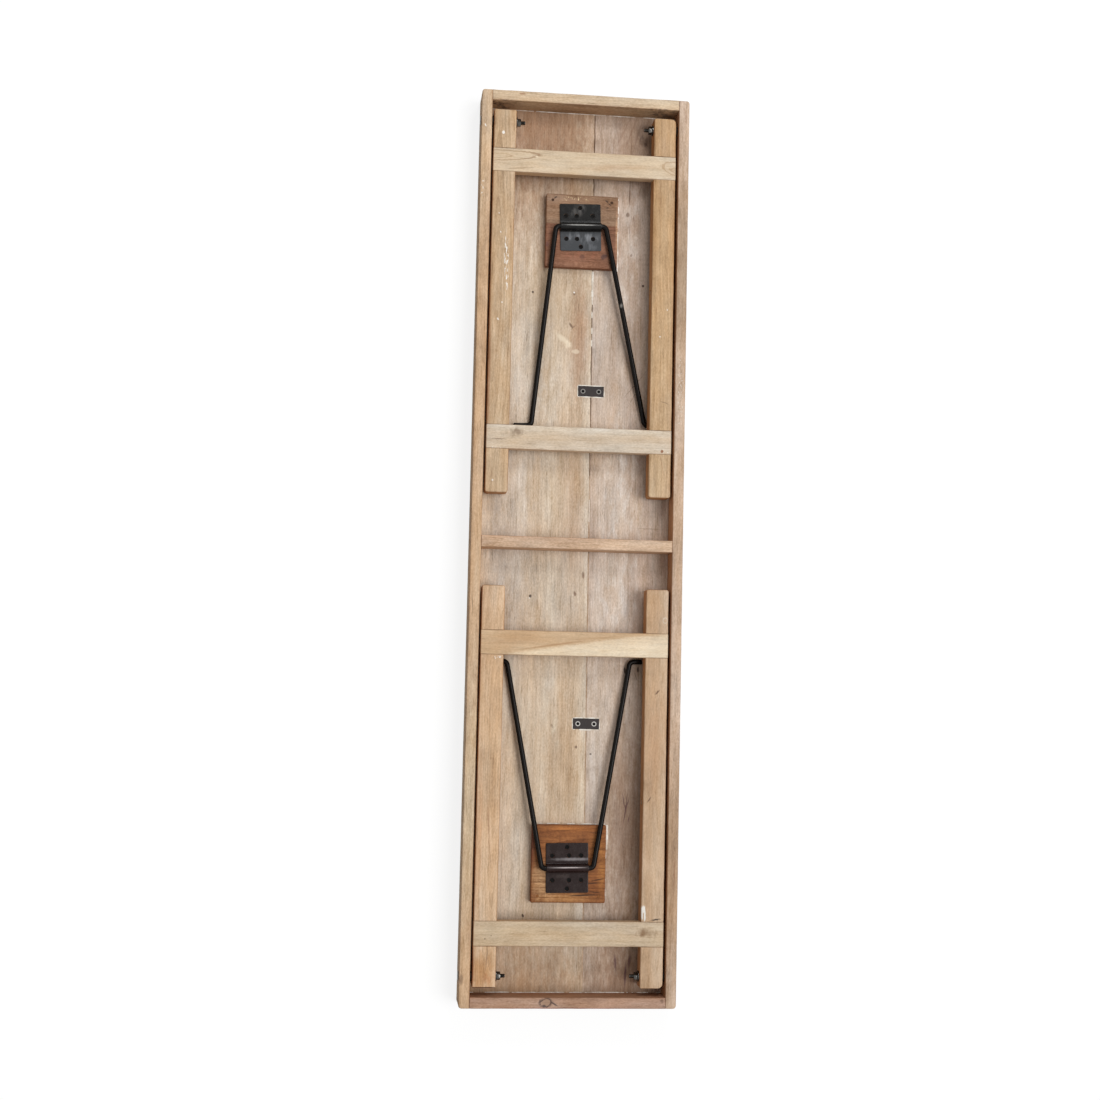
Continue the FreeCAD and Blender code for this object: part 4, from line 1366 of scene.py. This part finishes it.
# Pale beads on the boards along sides of a node's box, in millimetres, each side named by its axis
# and end. A bead lies a gap away from its side and covers a span of it, from 0 at the low end to 1
# at the high one.
Border = namedtuple("Border", "node sides width height cover gap span", defaults=((0.0, 1.0),))
BORDERS = (
    Border("mending_plate_left", "x- x+ y- y+", 3.2, 0.4, 0.35, 1.1),
    Border("mending_plate_right", "x- x+ y- y+", 3.2, 0.4, 0.35, 1.1),
    Border("brace_block_left", "y-", 7.0, 1.6, 0.60, 3.0, (0.68, 1.0)),
    Border("brace_block_left", "y-", 3.0, 1.0, 0.0, 2.0, (0.0, 0.68)),
    Border("brace_block_left", "x+", 4.0, 1.2, 0.20, 1.2),
    Border("brace_block_right", "y-", 5.0, 1.0, 0.15, 2.4),
    Border("end_rail_right", "x-", 2.6, 0.8, 0.40, 0.3),
    Border("end_rail_left", "x+", 2.8, 0.8, 0.35, 0.4),
)
Bead = namedtuple("Bead", "start finish width height cover")


def bead_runs(bead):
    """The unbroken runs of a bead, each a list of rings that are slim at both ends."""
    side = (bead.finish - bead.start).normalized().cross(UP)
    count = round((bead.finish - bead.start).length / FILLER_STEP)
    runs = [[]]
    for k in range(count + 1):
        point = bead.start.lerp(bead.finish, k / count)
        point += side * noise.noise(point * BEAD_WAVER_WAVES) * BEAD_WAVER
        patch = noise.noise(point * BEAD_PATCH_WAVES)
        crumb = noise.noise(point * BEAD_CRUMB_WAVES) * BEAD_CRUMB_SHARE
        strength = min(1.0, patch + crumb + bead.cover, k + BEAD_TIP, count - k + BEAD_TIP)
        if strength < 0:
            runs.append([])
            continue
        half = bead.width / 2 * (BEAD_SLIM + (1 - BEAD_SLIM) * strength)
        rise = bead.height * (BEAD_LOW + (1 - BEAD_LOW) * strength)
        crown = [(across * half, up * rise) for across, up in BEAD_CROWN]
        shape = [(-half, -FILLER_ROOT), *crown, (half, -FILLER_ROOT)]
        runs[-1].append([point + side * across + UP * up for across, up in shape])
    return [rings for rings in runs if len(rings) > 1]


def border_beads(border):
    """A bead along each side of a border."""
    low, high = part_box(border.node)
    beads = []
    for axis_name, end in border.sides.split():
        axis = "xy".index(axis_name)
        start, finish = low.copy(), high.copy()
        gap = border.gap * MM
        start[axis] = finish[axis] = high[axis] + gap if end == "+" else low[axis] - gap
        start.z = finish.z = WIDE_HIGH.z
        ends = [start.lerp(finish, share) for share in border.span]
        beads.append(Bead(*ends, border.width * MM, border.height * MM, border.cover))
    return beads


def seam_bead(start, finish, width, height, cover):
    """A bead along the middle of the seam."""
    places = (start * MM, finish * MM)
    ends = [Vector((place, seam_y(place) - SEAM_GAP / 2, WIDE_HIGH.z)) for place in places]
    return Bead(*ends, width * MM, height * MM, cover)


def filler_material(name, tone, dust):
    material, graph, shader, coordinates = new_material(name)
    place = coordinates["Object"]
    grit = graph.noise(place, "filler_grit")
    colour = graph.mix(graph.noise(place, "smear"), srgb(*tone), srgb(*dust))
    shade = graph.sway(grit, FILLER_SHADE, 1.0)
    colour = graph.vector("MULTIPLY", colour, graph.join(shade, shade, shade))
    roughness = graph.sway(grit, GRIT_ROUGHNESS, FILLER_ROUGHNESS)
    set_surface(graph, shader, colour, roughness, WOOD_SPECULAR, grit, FILLER_RELIEF)
    return material


def add_filler():
    beads = {name: [seam_bead(*row) for row in rows] for name, rows in SEAM_BEADS.items()}
    for border in BORDERS:
        beads["filler_pale"] += border_beads(border)
    for name, tones in FILLERS.items():
        mesh = bmesh.new()
        for bead in beads[name]:
            for rings in bead_runs(bead):
                loft_into(mesh, rings)
        bmesh.ops.recalc_face_normals(mesh, faces=mesh.faces)
        piece = new_object(name, mesh)
        piece.data.materials.append(filler_material(name, *tones))
        smooth(piece, SHARP_FILLER)
        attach(piece, NODE_BODY["top_board_wide"])


# Fasteners

def new_screw(width, length, sink):
    """A countersunk screw with a cross recess, its head's top sunk under the origin."""
    head = width / 2
    shank = head / 2
    profile = [(SCREW_POINT * shank, -length), (shank, -POINT_START * length), (shank, -head),
               (head, -SCREW_RIM_LOW - sink), (head, -SCREW_RIM_HIGH - sink),
               (head - SCREW_RIM_EASE, -sink)]
    piece = new_object("screw", lathe(profile, SCREW_SEGMENTS))
    half = RECESS_HALF * head
    slit = RECESS_SLIT * head
    for x, y in ((half, slit), (slit, half)):
        cutters = bmesh.new()
        add_box(cutters, (-x, -y, -RECESS_DEPTH - sink), (x, y, MM))
        cut(piece, cutters)
    return piece


def new_nail(width, length):
    """A square cut nail with a hammered head."""
    corner = width / math.sqrt(2)
    shank = NAIL_SHANK * corner
    profile = [(NAIL_POINT * shank, -length), (shank, -POINT_START * length), (shank, -NAIL_NECK)]
    profile += [(share * corner, height) for share, height in NAIL_HEAD]
    mesh = lathe(profile, NAIL_SIDES)
    bmesh.ops.rotate(mesh, verts=mesh.verts, matrix=Matrix.Rotation(QUARTER_TURN / 2, 3, "Z"))
    bmesh.ops.subdivide_edges(mesh, edges=mesh.edges, cuts=1, use_grid_fill=True)
    for vertex in mesh.verts:
        vertex.co.z -= max(0.0, noise.noise(vertex.co * NAIL_DENT_WAVES)) * NAIL_DENT
    return new_object("nail", mesh)


def new_nut(length):
    """A six-sided nut with both faces chamfered, from the origin up."""
    flat = NUT_WIDTH / 2
    face = NUT_FACE * flat
    corner = flat / math.cos(math.pi / NUT_SIDES)
    chamfer = NUT_CHAMFER * length
    bore = BOLT_RADIUS + NUT_PLAY
    profile = [(bore, 0), (face, 0), (corner, chamfer), (corner, length - chamfer), (face, length),
               (BOLT_RADIUS + NUT_COUNTERSINK, length), (bore, length - NUT_COUNTERSINK), (bore, 0)]
    return new_object("nut", lathe(profile, NUT_SEGMENTS, "none", NUT_SIDES))


def new_washer(width, length):
    """A flat washer with eased rims, from the origin up."""
    outer = width / 2
    inner = BOLT_RADIUS + WASHER_PLAY
    ease = WASHER_EASE
    profile = [(inner, 0), (outer - ease, 0), (outer, ease), (outer, length - ease),
               (outer - ease, length), (inner + ease, length), (inner, length - ease), (inner, 0)]
    return new_object("washer", lathe(profile, WASHER_SEGMENTS, "none"))


def new_bolt(width, length):
    """A bolt with a domed head whose top is at the origin, and a thread at its end."""
    head = width / 2
    under = -BOLT_HEAD_HEIGHT
    rim = BOLT_HEAD_RIM
    profile = [(BOLT_RADIUS - drawn, -length + height) for drawn, height in BOLT_TIP]
    for turn in range(THREAD_TURNS):
        foot = -length + THREAD_START + turn * THREAD_PITCH
        profile += [(BOLT_RADIUS - THREAD_DEPTH, foot), (BOLT_RADIUS, foot + THREAD_PITCH / 2)]
    profile += [(BOLT_RADIUS, under), (head - rim, under), (head, under + rim)]
    for k in range(1, BOLT_DOME_STEPS):
        out = around(QUARTER_TURN * k / BOLT_DOME_STEPS)
        profile.append((head * out.x, under + rim + (BOLT_HEAD_HEIGHT - rim) * out.y))
    return new_object("bolt", lathe(profile, BOLT_SEGMENTS))


def add_copies(node, maker, from_inside=False):
    """One piece of copies of a body, at each solid of the node.

    The body is drawn down from its head, or up from its inner face if it is from inside."""
    group = bmesh.new()
    source = None
    for i, (low, high) in enumerate(solids(node)):
        top, out, width = head_of(node, low, high)
        length = abs((high - low).dot(out))
        if from_inside:
            out = Vector((0, -math.copysign(1, top.y), 0))
            length = high.y - low.y
            top = (low + high) / 2 - out * length / 2
        if source is None:
            source = maker(width, length)
        place = Matrix.Translation(top) @ turn_to(out) @ Matrix.Rotation(COPY_TURN * i, 4, "Z")
        before = len(group.verts)
        group.from_mesh(source.data)
        group.verts.ensure_lookup_table()
        bmesh.ops.transform(group, verts=group.verts[before:], matrix=place)
    bpy.data.objects.remove(source)
    finish_piece(new_object(node + "_set", group), node, SHARP_FASTENER)


def add_fasteners():
    for node, (extra, sink) in SCREWS.items():
        add_copies(node, lambda width, length: new_screw(width + extra, length, sink))
    for node in ("block_nails", "top_nails"):
        add_copies(node, new_nail)
    add_copies("pivot_nuts", lambda width, length: new_nut(length), from_inside=True)
    for node in ("pivot_washers", "pivot_spacers"):
        add_copies(node, new_washer, from_inside=True)
    add_copies("pivot_bolts", new_bolt)


# Stage

def add_camera():
    data = bpy.data.cameras.new("camera")
    data.sensor_width = SENSOR_WIDTH
    data.lens = SENSOR_WIDTH * FOCAL_PIXELS / IMAGE_PIXELS
    camera = link("camera", data)
    back = CAMERA_BACK.normalized()
    right = CAMERA_UP.cross(back).normalized()
    turn = Matrix((right, back.cross(right), back)).transposed()
    camera.matrix_world = Matrix.Translation(CAMERA_PLACE) @ turn.to_4x4()
    bpy.context.scene.camera = camera


def add_lamp(name, kind, place, energy):
    """A lamp that shines from its place towards the middle of the table."""
    data = bpy.data.lights.new(name, kind)
    data.energy = energy
    lamp = link(name, data)
    lamp.location = place
    lamp.rotation_euler = place.to_track_quat("Z", "Y").to_euler()
    return lamp


def add_light():
    key = add_lamp("key", "SUN", KEY_FROM, KEY_STRENGTH)
    key.data.angle = math.radians(KEY_ANGLE)
    softbox = add_lamp("softbox", "AREA", SOFTBOX_PLACE, SOFTBOX_POWER)
    softbox.data.size = SOFTBOX_SIZE
    softbox.visible_camera = False


def seen_directly(graph):
    """1 for rays from the camera, from gloss and through glass."""
    path = graph.node("ShaderNodeLightPath").outputs
    seen = graph.math("MAXIMUM", path["Is Camera Ray"], path["Is Glossy Ray"])
    return graph.math("MAXIMUM", seen, path["Is Transmission Ray"])


def add_floor():
    """A pale floor that shows white and keeps a soft shadow."""
    half = FLOOR_SIZE / 2
    mesh = bpy.data.meshes.new("floor")
    corners = [(-half, -half, 0), (half, -half, 0), (half, half, 0), (-half, half, 0)]
    mesh.from_pydata(corners, [], [(0, 1, 2, 3)])
    floor = link("floor", mesh)
    material = bpy.data.materials.new("floor")
    material.use_nodes = True
    graph = Graph(material.node_tree)
    material.node_tree.nodes.clear()
    pale = graph.node("ShaderNodeBsdfDiffuse", {"Color": (FLOOR_DIFFUSE,) * 3 + (1,)}).outputs[0]
    glow = graph.times(seen_directly(graph), FLOOR_GLOW)
    light = graph.node("ShaderNodeEmission", {"Strength": glow}).outputs[0]
    both = graph.node("ShaderNodeAddShader", {0: pale, 1: light}).outputs[0]
    graph.node("ShaderNodeOutputMaterial", {"Surface": both})
    mesh.materials.append(material)


def set_world():
    """Even white light all round, which shows as white."""
    world = bpy.data.worlds.new("studio")
    world.use_nodes = True
    graph = Graph(world.node_tree)
    background = world.node_tree.nodes["Background"].inputs
    strength = graph.plus(seen_directly(graph), 1 - WORLD_STRENGTH, WORLD_STRENGTH)
    graph.put(background["Strength"], strength)
    background["Color"].default_value = (1, 1, 1, 1)
    bpy.context.scene.world = world
    bpy.context.scene.view_settings.view_transform = "Standard"


add_boards()
add_rails()
for end in ENDS:
    add_leg_frame(end)
    add_block(end)
    add_rod(end)
    add_bracket(end)
add_plates()
add_filler()
add_fasteners()
add_camera()
add_light()
add_floor()
set_world()
